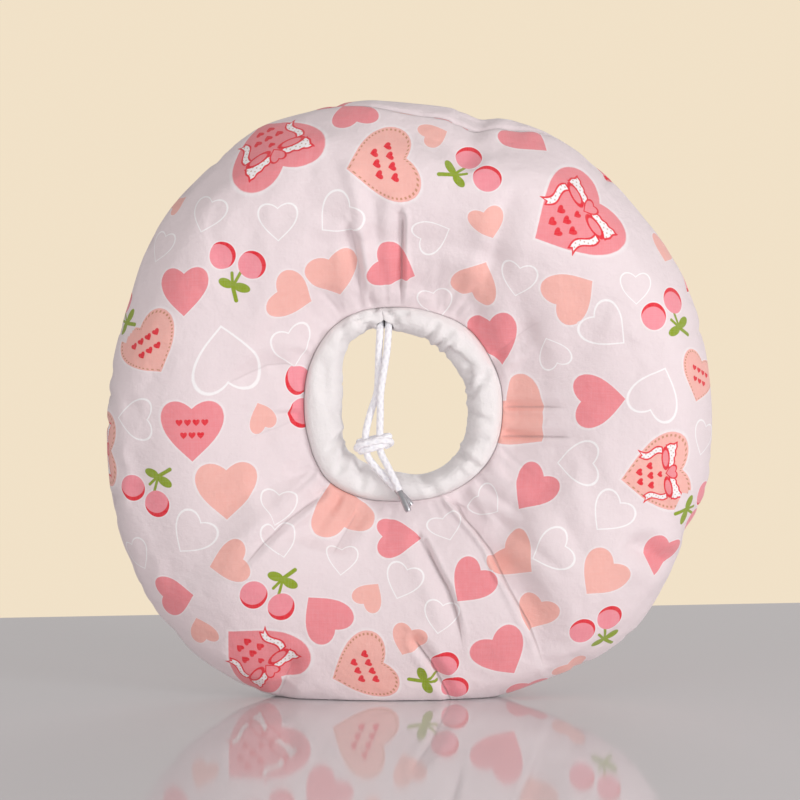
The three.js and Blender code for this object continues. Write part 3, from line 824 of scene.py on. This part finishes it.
def small_folds(across, step, clock, radius, past_seam):
    """How far chance gathers at the neck seam and puckers at the rim draw each point in."""
    rim = RING_RADIUS * read_outline(RIM_OUTLINE, 1, clock)
    before_rim = (1 - step) * NECK_TO_RIM
    dip = np.zeros(len(step))
    chance = np.random.RandomState(11)
    for face in ("front", "back"):
        chosen = on_face(face, across)
        count, *ranges = NECK_GATHERS
        for _ in range(count):
            turned = clock_away(clock, chance.uniform(0, 360))
            reach, width, depth = (chance.uniform(*ends) * MM for ends in ranges)
            slant = chance.uniform(-NECK_GATHER_SLANT, NECK_GATHER_SLANT)
            off = np.abs((np.radians(turned) * radius - slant * past_seam) / width)
            crease = np.exp(-(off**1.6)) - 0.3 * np.exp(-((off - 2) ** 2))
            fade = np.exp(-((np.maximum(past_seam, 0) / reach) ** 2))
            dip += np.where(chosen & (step < 0.7), depth * fade * crease, 0)
        count, *ranges = RIM_PUCKERS
        for _ in range(count):
            turned = clock_away(clock, chance.uniform(0, 360))
            reach, width, depth = (chance.uniform(*ends) * MM for ends in ranges)
            pucker = np.exp(-((np.radians(turned) * rim / width) ** 2))
            fade = np.exp(-((before_rim / reach) ** 2))
            dip += np.where(chosen & (step > 0.5), depth * fade * pucker, 0)
    return dip


def fold_depths(flat, across):
    """How far each point of the cover is drawn in, and its place beside the nearest crease."""
    x, z, step = flat.T
    clock = np.degrees(np.arctan2(x - NECK_CENTRE[0], z - NECK_CENTRE[1])) % 360
    radius = np.hypot(x - NECK_CENTRE[0], z - NECK_CENTRE[1])
    past_seam = radius - NECK_SEAM_RADIUS * read_outline(NECK_OUTLINE, 1, clock)
    dip, creases = long_folds(flat, across)
    dip *= 1 - RIM_FOLD_LOSS * smooth_rise(step, 0.86, 1.0)
    dip += small_folds(across, step, clock, radius, past_seam)
    dip *= 1 - np.exp(-((np.maximum(past_seam, 0) / NECK_HOLD) ** 2))
    dip += SEAM_SINK * np.exp(-(((1 - step) / SEAM_SINK_STEP) ** 2))
    return dip, creases


def make_cover():
    grid = ring_grid()
    faces = grid_faces(*grid["point"].shape[:2])
    cover = make_mesh_object("printed_cover", grid["point"].reshape(-1, 3), faces)
    for name in ("cloth", "flat"):
        write_vectors(cover.data, name, grid[name].reshape(-1, 3))
    outward_faces(cover)
    settle_cloth(cover)
    finer = cover.modifiers.new("finer", "SUBSURF")
    finer.levels = 1
    finer.render_levels = 1
    apply_modifier(cover, finer)
    made = cover.data.attributes
    cloth, flat = (read_values(made[name].data, "vector") for name in ("cloth", "flat"))
    points = read_values(cover.data.vertices, "co")
    normals = read_values(cover.data.vertices, "normal")
    dip, creases = fold_depths(flat, cloth[:, 2])
    write_vectors(cover.data, "crease", creases)
    write_points(cover.data, press_on_floor(points - normals * dip[:, None]))
    shade_smooth(cover)
    chart_print(cover, cloth)
    return cover


def press_on_floor(points):
    """The rim rests flat, and the cloth beside it bulges out a little."""
    under = np.maximum(0, -points[:, 2])
    points[:, 1] += np.sign(points[:, 1]) * FLOOR_BULGE * under
    points[:, 2] = np.maximum(points[:, 2], 0.0)
    return points


# The print


def cloth_place(right, up):
    """Where a motif seen at a place on the front lies on the unrolled cloth."""
    step = 0.5
    for _ in range(3):
        nearer = 1 - (float(face_lift(step)) + LOOK_AT[1]) / CAMERA_DISTANCE
        x, z = right * HALF_UNIT * nearer, up * HALF_UNIT * nearer
        clock = math.degrees(math.atan2(x, z))
        radius = math.hypot(x, z)
        neck = NECK_SEAM_RADIUS * float(read_outline(NECK_OUTLINE, 1, clock))
        inner = neck + radius - math.hypot(x - NECK_OFFSET_X, z - NECK_OFFSET_Z)
        rim = RING_RADIUS * float(read_outline(RIM_OUTLINE, 1, clock))
        share = min(max((radius - inner) / (rim - inner), 0.0), 0.995)
        step = 1 - (1 - share) ** (1 / RING_SWELL)
    spare = float(np.interp(step, SECTION_STEPS, SECTION_SPARE))
    return x * (1 + spare / radius), z * (1 + spare / radius)


def motif_place(place_x, place_z, x, z, heading, unit, height):
    """Places on the cloth, measured across and up a motif in its own size."""
    dx = (place_x - x) / unit
    dz = (place_z - z) / unit
    sine, cosine = np.sin(heading), np.cos(heading)
    return dx * cosine - dz * sine, (dx * sine + dz * cosine) / height


def heart_lobes(side):
    return side * (HEART_LOBES * (1 + HEART_BLUNTNESS)) / (side + HEART_BLUNTNESS)


def motif_reach(kind, across, up):
    """Under 1 where a motif or its pale halo may lie."""
    if kind < CHERRIES:
        lobes = heart_lobes(np.abs(across))
        return np.hypot(across, (up + HEART_SINK) * HEART_STRETCH - lobes) / 1.14
    side = 1 if kind == CHERRIES else -1
    left, right = (np.hypot(across * side - u, up - v) / 1.2 for u, v in CHERRY_CENTRES)
    leaves = np.maximum(np.abs(across) / 1.6, np.abs(up + 1.8) / 1.5)
    return np.minimum(np.minimum(left, right), leaves)


def chart_print(cover, cloth):
    """Gives each face the nearest motif, and each corner its place in that motif."""
    mesh = cover.data
    motifs = []
    for kind, right, up, tip, width in PRINT:
        x, z = cloth_place(right, up)
        for face in ("front", "back"):
            turn = BACK_TURN if face == "back" else 0
            cosine, sine = math.cos(math.radians(turn)), math.sin(math.radians(turn))
            heading = math.radians(tip + turn + (0 if kind >= CHERRIES else 180))
            turned_x, turned_z = x * cosine + z * sine, z * cosine - x * sine
            unit = width / 2 * HALF_UNIT
            motifs.append((kind, face, turned_x, turned_z, heading, unit, HEART_HEIGHTS[kind]))
    corners = corner_points(mesh)
    starts = np.empty(len(mesh.polygons), dtype=np.int64)
    mesh.polygons.foreach_get("loop_start", starts)
    quads = cloth[corners[starts[:, None] + np.arange(4)[None, :]]]
    side = quads[:, :, 2].mean(axis=1)
    best = np.full(len(starts), 1.0)
    chosen = np.full(len(starts), -1)
    for number, (kind, face, x, z, heading, unit, height) in enumerate(motifs):
        near = np.abs(quads[:, 0, 0] - x) + np.abs(quads[:, 0, 1] - z) < 7 * unit
        near &= side < 1 if face == "front" else (side > 1) & (side < 2)
        some = np.nonzero(near)[0]
        place = quads[some, :, 0], quads[some, :, 1]
        across, up = motif_place(*place, x, z, heading, unit, height)
        reach = motif_reach(kind, across, up).min(axis=1)
        nearer = some[reach < best[some]]
        best[nearer] = reach[reach < best[some]]
        chosen[nearer] = number
    table = np.array([(m[0], *m[2:]) for m in motifs] + [(0, 0, 0, 0, 1, 1)])
    own = table[chosen]
    kind = own[:, 0]
    made = mesh.attributes.new("motif", "FLOAT", "FACE")
    made.data.foreach_set("value", kind)
    per_corner = np.repeat(own, 4, axis=0)
    place = quads.reshape(-1, 3)
    across, up = motif_place(place[:, 0], place[:, 1], *per_corner[:, 1:].T)
    across = np.where(per_corner[:, 0] == FLIPPED, -across, across)
    write_map(mesh, "print", across, up)
    write_map(mesh, "weave", place[:, 0] / MM, place[:, 1] / MM)


# The casing


def casing_place(clock, share):
    """The flat place on the casing: share 0 is the edge of the hole and share 1 the seam."""
    outer = NECK_SEAM_RADIUS * read_outline(NECK_OUTLINE, 1, clock) - SEAM_GAP
    inner = OPENING_RADIUS * read_outline(NECK_OUTLINE, 2, clock)
    return place_around(NECK_CENTRE, inner + (outer - inner) * share, clock)


def casing_skin(clock):
    """Rows of points round the casing's section, from one side of the slit to the other."""
    angle = 2 * np.pi * (np.arange(CASING_SIDES) + 0.5) / CASING_SIDES
    cosine, sine = np.cos(angle), np.sin(angle)
    power = np.where(cosine > 0, 2 / CASING_SEAM_SQUARENESS, 2 / CASING_HOLE_SQUARENESS)
    across = np.sign(cosine) * np.abs(cosine) ** power
    back = np.sign(sine) * np.abs(sine) ** power
    to_start = np.radians(clock - clock[0]) * NECK_BAND_RADIUS
    to_end = np.radians(clock[-1] - clock) * NECK_BAND_RADIUS
    end = np.minimum(to_start, to_end)
    near_end = np.exp(-((end / SLIT_REACH) ** 2))
    mouth = smooth_rise(across, -0.15, -0.4) * smooth_rise(back, 0.35, -0.1)
    closing = (SLIT_WIDTH / 2 - SLIT_LIP) * (1 - mouth)[None, :] * near_end[:, None]
    closing *= np.where(to_start < to_end, -1, 1)[:, None]
    clock = clock[:, None] + np.degrees(closing / NECK_BAND_RADIUS)
    depth = CASING_DEPTH / 2 * (1 - SLIT_FLATTENING * near_end)
    x, z = casing_place(clock, (1 + across[None, :]) / 2)
    y = depth[:, None] * back[None, :]
    return np.stack([x, y, z], axis=2)


def grid_normals(points):
    """Outward normals of rows of points that run round closed sections."""
    along = np.gradient(points, axis=0)
    around = np.roll(points, -1, axis=1) - np.roll(points, 1, axis=1)
    normals = np.cross(along, around)
    normals /= np.linalg.norm(normals, axis=2)[:, :, None]
    outward = points - points.mean(axis=1, keepdims=True)
    side = np.sign((normals * outward).sum())
    return normals * side


def casing_dips(points, clock):
    """How far the white cloth is drawn in by its folds and by the gathers of the hole."""
    x, y, z = points[:, :, 0].ravel(), points[:, :, 1].ravel(), points[:, :, 2].ravel()
    dip = np.zeros(len(x))
    front = np.clip(0.6 - y / (6 * MM), 0, 1)
    for path, width, depth in CASING_FOLDS:
        places = [tuple(float(v) for v in casing_place(c, share)) for c, share in path]
        away = distance_to_path(x, z, places)[0] / (width * MM)
        dip += depth * MM * front * (np.exp(-(away**1.7)) - 0.3 * np.exp(-((away - 2) ** 2)))
    angle = 2 * np.pi * (np.arange(CASING_SIDES)[None, :] + 0.5) / CASING_SIDES
    dip = dip.reshape(points.shape[:2])
    chance = np.random.RandomState(5)
    for _ in range(CASING_GATHERS):
        drawn = [chance.uniform(*ends) for ends in CASING_GATHER_RANGES]
        middle, width, lean, centre, spread, depth = drawn
        turned = clock_away(clock[:, None], middle + lean * (angle - np.pi))
        gather = np.exp(-((turned / width) ** 2) - ((angle - centre * np.pi) / spread) ** 2)
        dip = dip + depth * MM * gather
    across = np.cos(angle)
    return dip * (1 - smooth_rise(across, 0.55, 0.95))


def casing_clock(count, inset=0):
    """Clock angles round the hole, from one side of the slit to the other."""
    slit = math.degrees(SLIT_WIDTH / 2 / NECK_BAND_RADIUS)
    return np.linspace(SLIT_CLOCK + slit + inset, SLIT_CLOCK + 360 - slit - inset, count)


def make_casing():
    clock = casing_clock(CASING_STATIONS)
    outer = casing_skin(clock)
    outer = outer - grid_normals(outer) * casing_dips(outer, clock)[:, :, None]
    inner = (outer - grid_normals(outer) * CASING_CLOTH)[::-1]
    points = np.concatenate([outer, inner]).reshape(-1, 3)
    casing = make_mesh_object("white_casing", points, grid_faces(2 * CASING_STATIONS, CASING_SIDES))
    corners = corner_points(casing.data)
    row = corners // CASING_SIDES
    row = np.where(row < CASING_STATIONS, row, 2 * CASING_STATIONS - 1 - row)
    length = np.radians(clock[row]) * NECK_BAND_RADIUS / MM
    write_map(casing.data, "weave", length, corners % CASING_SIDES * CASING_ROUND / CASING_SIDES)
    outward_faces(casing)
    shade_smooth(casing)
    return casing


def make_hidden_cord():
    clock = casing_clock(60, inset=1)
    radius = OPENING_RADIUS * read_outline(NECK_OUTLINE, 2, clock) + HIDDEN_CORD_INSET
    x, z = place_around(NECK_CENTRE, radius, clock)
    line = np.stack([x, np.zeros_like(x), z], axis=1)
    return braided_cord("hidden_cord", line, CORD_DIAMETER * 0.95, sides=12)


# Materials


class Field:
    """A number that varies over a surface, worked out by the material's math nodes."""

    def __init__(self, tree, source):
        self.tree = tree
        self.source = source

    def work(self, operation, *others, clamp=False):
        node = self.tree.nodes.new("ShaderNodeMath")
        node.operation = operation
        node.use_clamp = clamp
        for socket, value in zip(node.inputs, (self, *others)):
            if isinstance(value, Field):
                self.tree.links.new(value.source, socket)
            else:
                socket.default_value = value
        return Field(self.tree, node.outputs[0])

    def __add__(self, other):
        return self.work("ADD", other)

    def __sub__(self, other):
        return self.work("SUBTRACT", other)

    def __mul__(self, other):
        return self.work("MULTIPLY", other)

    def __truediv__(self, other):
        return self.work("DIVIDE", other)

    def __neg__(self):
        return self.work("MULTIPLY", -1.0)

    def __abs__(self):
        return self.work("ABSOLUTE")

    def squared(self):
        return self.work("MULTIPLY", self)

    def root(self):
        return self.work("SQRT")

    def sine(self):
        return self.work("SINE")

    def least(self, other):
        return self.work("MINIMUM", other)

    def most(self, other):
        return self.work("MAXIMUM", other)

    def below(self, limit, soft=0.02):
        """1 where the number is under the limit, 0 where it is over, with a soft edge."""
        return (-self + limit).work("DIVIDE", soft).work("ADD", 0.5, clamp=True)

    def above(self, limit, soft=0.02):
        return (self - limit).work("DIVIDE", soft).work("ADD", 0.5, clamp=True)

    def repeated(self, length):
        """The number folded into steps of one length, centred on each step."""
        return (self + length / 2).work("FLOORED_MODULO", length) - length / 2


def blank_material(name):
    material = bpy.data.materials.new(name)
    material.use_nodes = True
    tree = material.node_tree
    return material, tree, tree.nodes["Principled BSDF"]


def set_inputs(node, values):
    for name, value in values.items():
        node.inputs[name].default_value = value


def map_fields(tree, name):
    """The two coordinates of a UV map."""
    source = tree.nodes.new("ShaderNodeUVMap")
    source.uv_map = name
    parts = tree.nodes.new("ShaderNodeSeparateXYZ")
    tree.links.new(source.outputs["UV"], parts.inputs[0])
    return source, Field(tree, parts.outputs["X"]), Field(tree, parts.outputs["Y"])


def painted(tree, under, over, mask):
    """One colour over another where the mask is 1."""
    mix = tree.nodes.new("ShaderNodeMix")
    mix.data_type = "RGBA"
    tree.links.new(mask.source, mix.inputs["Factor"])
    for socket, colour in ((mix.inputs[6], under), (mix.inputs[7], over)):
        if isinstance(colour, tuple):
            socket.default_value = colour
        else:
            tree.links.new(colour, socket)
    return mix.outputs[2]


def noise_field(tree, vector, scale, detail=4.0, roughness=0.5):
    noise = tree.nodes.new("ShaderNodeTexNoise")
    set_inputs(noise, {"Scale": scale, "Detail": detail, "Roughness": roughness})
    tree.links.new(vector, noise.inputs["Vector"])
    return Field(tree, noise.outputs["Fac"])


def bumped(tree, shader, height, distance, strength=1.0):
    bump = tree.nodes.new("ShaderNodeBump")
    set_inputs(bump, {"Strength": strength, "Distance": distance})
    tree.links.new(height.source, bump.inputs["Height"])
    tree.links.new(bump.outputs["Normal"], shader.inputs["Normal"])


def least_of(fields):
    return functools.reduce(Field.least, fields)


def most_of(fields):
    return functools.reduce(Field.most, fields)


def heart_size(u, v):
    """Under 1 inside a heart of half width 1 that points down, over 1 outside it."""
    rise = (v + HEART_SINK) * HEART_STRETCH - heart_lobes(abs(u))
    return (u.squared() + rise.squared()).root()


def ellipse_size(u, v, centre, radii, turn=0.0):
    cosine, sine = math.cos(math.radians(turn)), math.sin(math.radians(turn))
    du, dv = u - centre[0], v - centre[1]
    along = (du * cosine + dv * sine) / radii[0]
    over = (dv * cosine - du * sine) / radii[1]
    return (along.squared() + over.squared()).root()


def little_hearts(u, v, rows):
    """Rows of tiny hearts across a bigger one."""
    inside = []
    for height, count, spacing, half in rows:
        shift = 0.0 if count % 2 else spacing / 2
        hearts = heart_size((u + shift).repeated(spacing) / half, (v - height) / half)
        inside.append(hearts.below(1.0, 0.2).least(abs(u).below(spacing * count / 2, 0.01)))
    return most_of(inside)


def printed_cotton():
    material, tree, shader = blank_material("printed cotton")
    source, u, v = map_fields(tree, "print")
    motif_source = tree.nodes.new("ShaderNodeAttribute")
    motif_source.attribute_name = "motif"
    motif = Field(tree, motif_source.outputs["Fac"])

    def is_kind(low, high=None):
        middle = (low + (high or low)) / 2
        return abs(motif - middle).below(((high or low) - low) / 2 + 0.5, 0.01)

    ragged = noise_field(tree, source.outputs["UV"], 9.0, 3.0)
    heart = heart_size(u, v) + (ragged - 0.5) * 0.02
    filled = is_kind(PINK, SALMON).most(is_kind(PINK_CHARMS, DOTTED_BOW))
    salmon = is_kind(SALMON).most(is_kind(DOTTED)).most(is_kind(DOTTED_BOW))
    dotted = is_kind(DOTTED).most(is_kind(DOTTED_BOW))
    bow = is_kind(PINK_BOW, DOTTED_BOW)
    charms = is_kind(PINK_CHARMS, DOTTED)
    fruit = is_kind(CHERRIES, FLIPPED)

    colour = painted(tree, CLOTH_WHITE, PRINT_LINE, filled.least(heart.below(1.07, 0.06)) * 0.4)
    colour = painted(tree, colour, PRINT_PINK, filled.least(heart.below(1.0, 0.025)))
    colour = painted(tree, colour, PRINT_SALMON, salmon.least(heart.below(1.0, 0.025)))
    line = abs(heart - 0.95).below(0.042, 0.03)
    colour = painted(tree, colour, PRINT_LINE, is_kind(OUTLINE).least(line))

    turn = (v - 0.3).work("ARCTAN2", u)
    dots = abs(heart - 0.925).below(0.03, 0.02)
    dots = dots.least((turn * BORDER_DOTS).sine().above(0.1, 0.5))
    colour = painted(tree, colour, PRINT_DOT, dotted.least(dots) * 0.8)

    colour = painted(tree, colour, PRINT_RED, charms.least(little_hearts(u, v, CHARM_ROWS)))
    colour = bow_colour(tree, colour, u, v, bow)
    colour = cherry_colour(tree, colour, u, v, fruit)

    weave_source, across, along = map_fields(tree, "weave")
    wear = noise_field(tree, weave_source.outputs["UV"], 0.35, 5.0, 0.6)
    thread = noise_field(tree, weave_source.outputs["UV"], 2.4, 2.0)
    streaks = thread_streaks(tree, across, along)
    pale = (wear * 0.09 + thread * 0.04 + (streaks - 0.5) * 0.22 - 0.03).most(0.0)
    faded = painted(tree, colour, PRINT_FADED, pale)
    # Painted shade: the colour is darkened along the bottoms of the sharp creases, and the same line
    # also sinks the bump into a real groove
    crease = crease_line(tree)
    tree.links.new(painted(tree, faded, CREASE_SHADE, crease * 0.5), shader.inputs["Base Color"])
    warp = (across * WEAVE_WAVE).sine()
    weft = (along * WEAVE_WAVE).sine()
    crumple = noise_field(tree, weave_source.outputs["UV"], 0.12, 4.0, 0.55)
    slub = noise_field(tree, weave_source.outputs["UV"], 1.1, 3.0, 0.6)
    height = warp * weft * 0.04 + slub * 0.10 + crumple * 1.2 - crease * 0.8
    bumped(tree, shader, height, 1.0 * MM, 0.8)
    set_inputs(shader, PRINTED_FINISH)
    return material


def crease_line(tree):
    """1 along the bottom of the sharp folds and 0 beside them."""
    source = tree.nodes.new("ShaderNodeAttribute")
    source.attribute_name = "crease"
    parts = tree.nodes.new("ShaderNodeSeparateXYZ")
    tree.links.new(source.outputs["Vector"], parts.inputs[0])
    beside = Field(tree, parts.outputs["X"])
    sharpness = Field(tree, parts.outputs["Y"])
    return abs(beside).below(0.42, 0.7) * sharpness


def thread_streaks(tree, across, along):
    """Thicker and thinner threads of the plain weave, both ways of the cloth."""
    streaks = []
    for fine, long in ((across, along), (along, across)):
        join = tree.nodes.new("ShaderNodeCombineXYZ")
        tree.links.new((fine * 1.6).source, join.inputs[0])
        tree.links.new((long * 0.07).source, join.inputs[1])
        streaks.append(noise_field(tree, join.outputs[0], 1.0, 2.0))
    return (streaks[0] + streaks[1]) * 0.5


def segment_away(u, v, start, end):
    """The distance to a straight stroke."""
    du, dv = end[0] - start[0], end[1] - start[1]
    length = du * du + dv * dv
    from_u, from_v = u - start[0], v - start[1]
    t = (from_u * (du / length)).work("ADD", from_v * (dv / length), clamp=True)
    return ((from_u - t * du).squared() + (from_v - t * dv).squared()).root()


def bow_colour(tree, colour, u, v, chosen):
    """A ribbon bow drawn in red and white: two dotted loops, two wavy tails and a heart."""
    side = abs(u)
    scallop = (side * 34.0).sine() * 0.012
    band = abs(v - side * 0.16 - 0.40) - side * 0.17 - 0.05 - scallop
    band = band.most(side - 0.70 - (v * 30.0).sine() * 0.012)
    eye = ellipse_size(side, v, (0.37, 0.29), (0.25, 0.105), 6)
    sway = side - 0.55 - ((v + 0.08) * 8.8).sine() * 0.06
    notch = v + 0.47 - (-abs(sway) + 0.085).most(0.0) * 0.9
    tail = (abs(sway) - 0.08).most(-notch).most(v - 0.22)
    dots = ((u * 50.0).sine() * (v * 50.0).sine()).above(0.6, 0.3)
    white = band.below(0.0, 0.02).most(tail.below(0.0, 0.02))
    colour = painted(tree, colour, PRINT_LINE, chosen.least(white))
    colour = painted(tree, colour, PRINT_DOT, chosen.least(white).least(dots) * 0.6)
    lines = abs(tail).below(0.02, 0.015).most(abs(band).below(0.022, 0.015))
    colour = painted(tree, colour, PRINT_RED, chosen.least(lines))
    colour = painted(tree, colour, PRINT_PINK, chosen.least(eye.below(1.0, 0.08)))
    colour = painted(tree, colour, PRINT_RED, chosen.least(abs(eye - 1.0).below(0.19, 0.1)))
    knot = heart_size(u / 0.165, (v - 0.42) / 0.165)
    colour = painted(tree, colour, PRINT_PINK, chosen.least(knot.below(1.0, 0.1)))
    colour = painted(tree, colour, PRINT_RED, chosen.least(abs(knot - 1.0).below(0.12, 0.08)))
    return painted(tree, colour, PRINT_RED, chosen.least(little_hearts(u, v, BOW_ROWS)))


def cherry_colour(tree, colour, u, v, chosen):
    """Two cherries, each with a red crescent, and a forked stem with two leaves."""
    cherries = [ellipse_size(u, v, centre, (1.0, 1.0)) for centre in CHERRY_CENTRES]
    lights = [ellipse_size(u, v, centre, (1.0, 1.0)) for centre in CHERRY_LIGHTS]
    crescents = [
        cherry.below(1.0, 0.04).least(light.above(1.0, 0.05))
        for cherry, light in zip(cherries, lights)
    ]
    both = least_of(cherries)
    stems = least_of([segment_away(u, v, STEM_FORK, end) - half for end, half in STEMS])
    leaves = least_of([ellipse_size(u, v, *leaf) for leaf in LEAVES])
    green = leaves.below(1.0, 0.08).most(stems.below(0.0, 0.04))
    colour = painted(tree, colour, PRINT_LINE, chosen.least(both.below(1.1, 0.06)) * 0.45)
    colour = painted(tree, colour, PRINT_GREEN, chosen.least(green))
    colour = painted(tree, colour, PRINT_CHERRY, chosen.least(both.below(1.0, 0.04)))
    return painted(tree, colour, PRINT_RED, chosen.least(most_of(crescents)))


def white_cotton():
    material, tree, shader = blank_material("white cotton")
    source, along, around = map_fields(tree, "weave")
    cloud = noise_field(tree, source.outputs["UV"], 0.22, 4.0, 0.6)
    tree.links.new(painted(tree, COTTON_WHITE, COTTON_SHADE, cloud * 0.5), shader.inputs["Base Color"])
    weave = (along * WEAVE_WAVE).sine() * (around * WEAVE_WAVE).sine()
    crumple = noise_field(tree, source.outputs["UV"], 0.28, 5.0, 0.6)
    bumped(tree, shader, weave * 0.04 + crumple * 1.2, 0.8 * MM, 0.9)
    set_inputs(shader, COTTON_FINISH)
    return material


def white_braid():
    material, tree, shader = blank_material("white braid")
    source, along, around = map_fields(tree, "braid")
    turn = around * (6 * math.pi)
    first = (turn + along * (2 * math.pi)).sine()
    second = (turn - along * (2 * math.pi)).sine()
    plait = first.most(second)
    strand = (along * 60.0 + turn * 3.0).sine()
    # Painted shade: the colour turns to CORD_SHADE in the hollows between the raised plaits
    shade = painted(tree, CORD_SHADE, CORD_WHITE, plait.above(-0.1, 0.9) * 0.6 + 0.4)
    tree.links.new(shade, shader.inputs["Base Color"])
    bumped(tree, shader, plait * 0.3 + strand * 0.06, 0.4 * MM, 0.8)
    set_inputs(shader, BRAID_FINISH)
    return material


def tip_metal():
    material, tree, shader = blank_material("tip metal")
    coordinates = tree.nodes.new("ShaderNodeTexCoord")
    rub = noise_field(tree, coordinates.outputs["Object"], 900.0, 3.0)
    tree.links.new(painted(tree, TIP_GREY, TIP_RUBBED, rub), shader.inputs["Base Color"])
    tree.links.new((rub * 0.2 + 0.22).source, shader.inputs["Roughness"])
    shader.inputs["Metallic"].default_value = 0.85
    return material


def wear_material(thing, material):
    thing.data.materials.clear()
    thing.data.materials.append(material)


# The room


def plain_finish(name, colour, roughness):
    material, tree, shader = blank_material(name)
    set_inputs(shader, {"Base Color": colour, "Roughness": roughness})
    return material


def make_room():
    corners = [(x, y, TABLE_LOW) for x, y in TABLE_TOP]
    table_top = make_mesh_object("table_top", corners, [(0, 1, 2, 3)])
    wear_material(table_top, plain_finish("pale table top", TABLE_PALE, TABLE_ROUGHNESS))


def soft_light(name, place, size, power, mirrored):
    lamp = bpy.data.lights.new(name, "AREA")
    lamp.shape = "DISK"
    lamp.size = size
    lamp.energy = power
    thing = bpy.data.objects.new(name, lamp)
    thing.location = place
    aim = Vector(LIGHTS_AIM) - Vector(place)
    thing.rotation_euler = aim.to_track_quat("-Z", "Y").to_euler()
    thing.visible_camera = False
    thing.visible_glossy = mirrored
    bpy.context.scene.collection.objects.link(thing)


def light_room():
    """A cream wall far behind the table, and soft light from the right front."""
    bpy.context.scene.view_settings.view_transform = "Standard"
    world = bpy.data.worlds.new("room")
    world.use_nodes = True
    tree = world.node_tree
    light = tree.nodes["Background"]
    set_inputs(light, {"Color": ROOM_LIGHT, "Strength": ROOM_STRENGTH})
    wall = tree.nodes.new("ShaderNodeBackground")
    wall.inputs["Color"].default_value = WALL_CREAM
    seen = tree.nodes.new("ShaderNodeLightPath")
    mix = tree.nodes.new("ShaderNodeMixShader")
    tree.links.new(seen.outputs["Is Camera Ray"], mix.inputs["Fac"])
    tree.links.new(light.outputs[0], mix.inputs[1])
    tree.links.new(wall.outputs[0], mix.inputs[2])
    tree.links.new(mix.outputs[0], tree.nodes["World Output"].inputs["Surface"])
    bpy.context.scene.world = world
    for row in LIGHTS:
        soft_light(*row)


def main():
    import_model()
    place_camera()

    (cord_left, route_left), (cord_right, route_right) = make_cords()
    knot = make_knot()
    tip_left = make_tip("cord_tip_left", TAIL_LEFT)
    tip_right = make_tip("cord_tip_right", TAIL_RIGHT)
    hidden_cord = make_hidden_cord()
    cover = make_cover()
    casing = make_casing()

    braid = white_braid()
    for cord in (cord_left, cord_right, knot, hidden_cord):
        wear_material(cord, braid)
    metal = tip_metal()
    wear_material(tip_left, metal)
    wear_material(tip_right, metal)
    wear_material(cover, printed_cotton())
    wear_material(casing, white_cotton())

    replaced = (
        (cord_left, ("strand_left", "tail_left"), "white_cord"),
        (cord_right, ("strand_right", "tail_right"), "white_cord"),
        (knot, ("knot",), "white_cord"),
        (hidden_cord, ("drawstring_loop",), "white_cord"),
        (tip_left, ("tip_left",), "tip_metal"),
        (tip_right, ("tip_right",), "tip_metal"),
        (cover, ("front_panel", "back_panel", "filling"), "printed_cotton"),
        (casing, ("neck_casing",), "white_cotton"),
    )
    for piece, nodes, slot in replaced:
        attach(piece, "root")
        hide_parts(*nodes)

    make_room()
    light_room()


main()
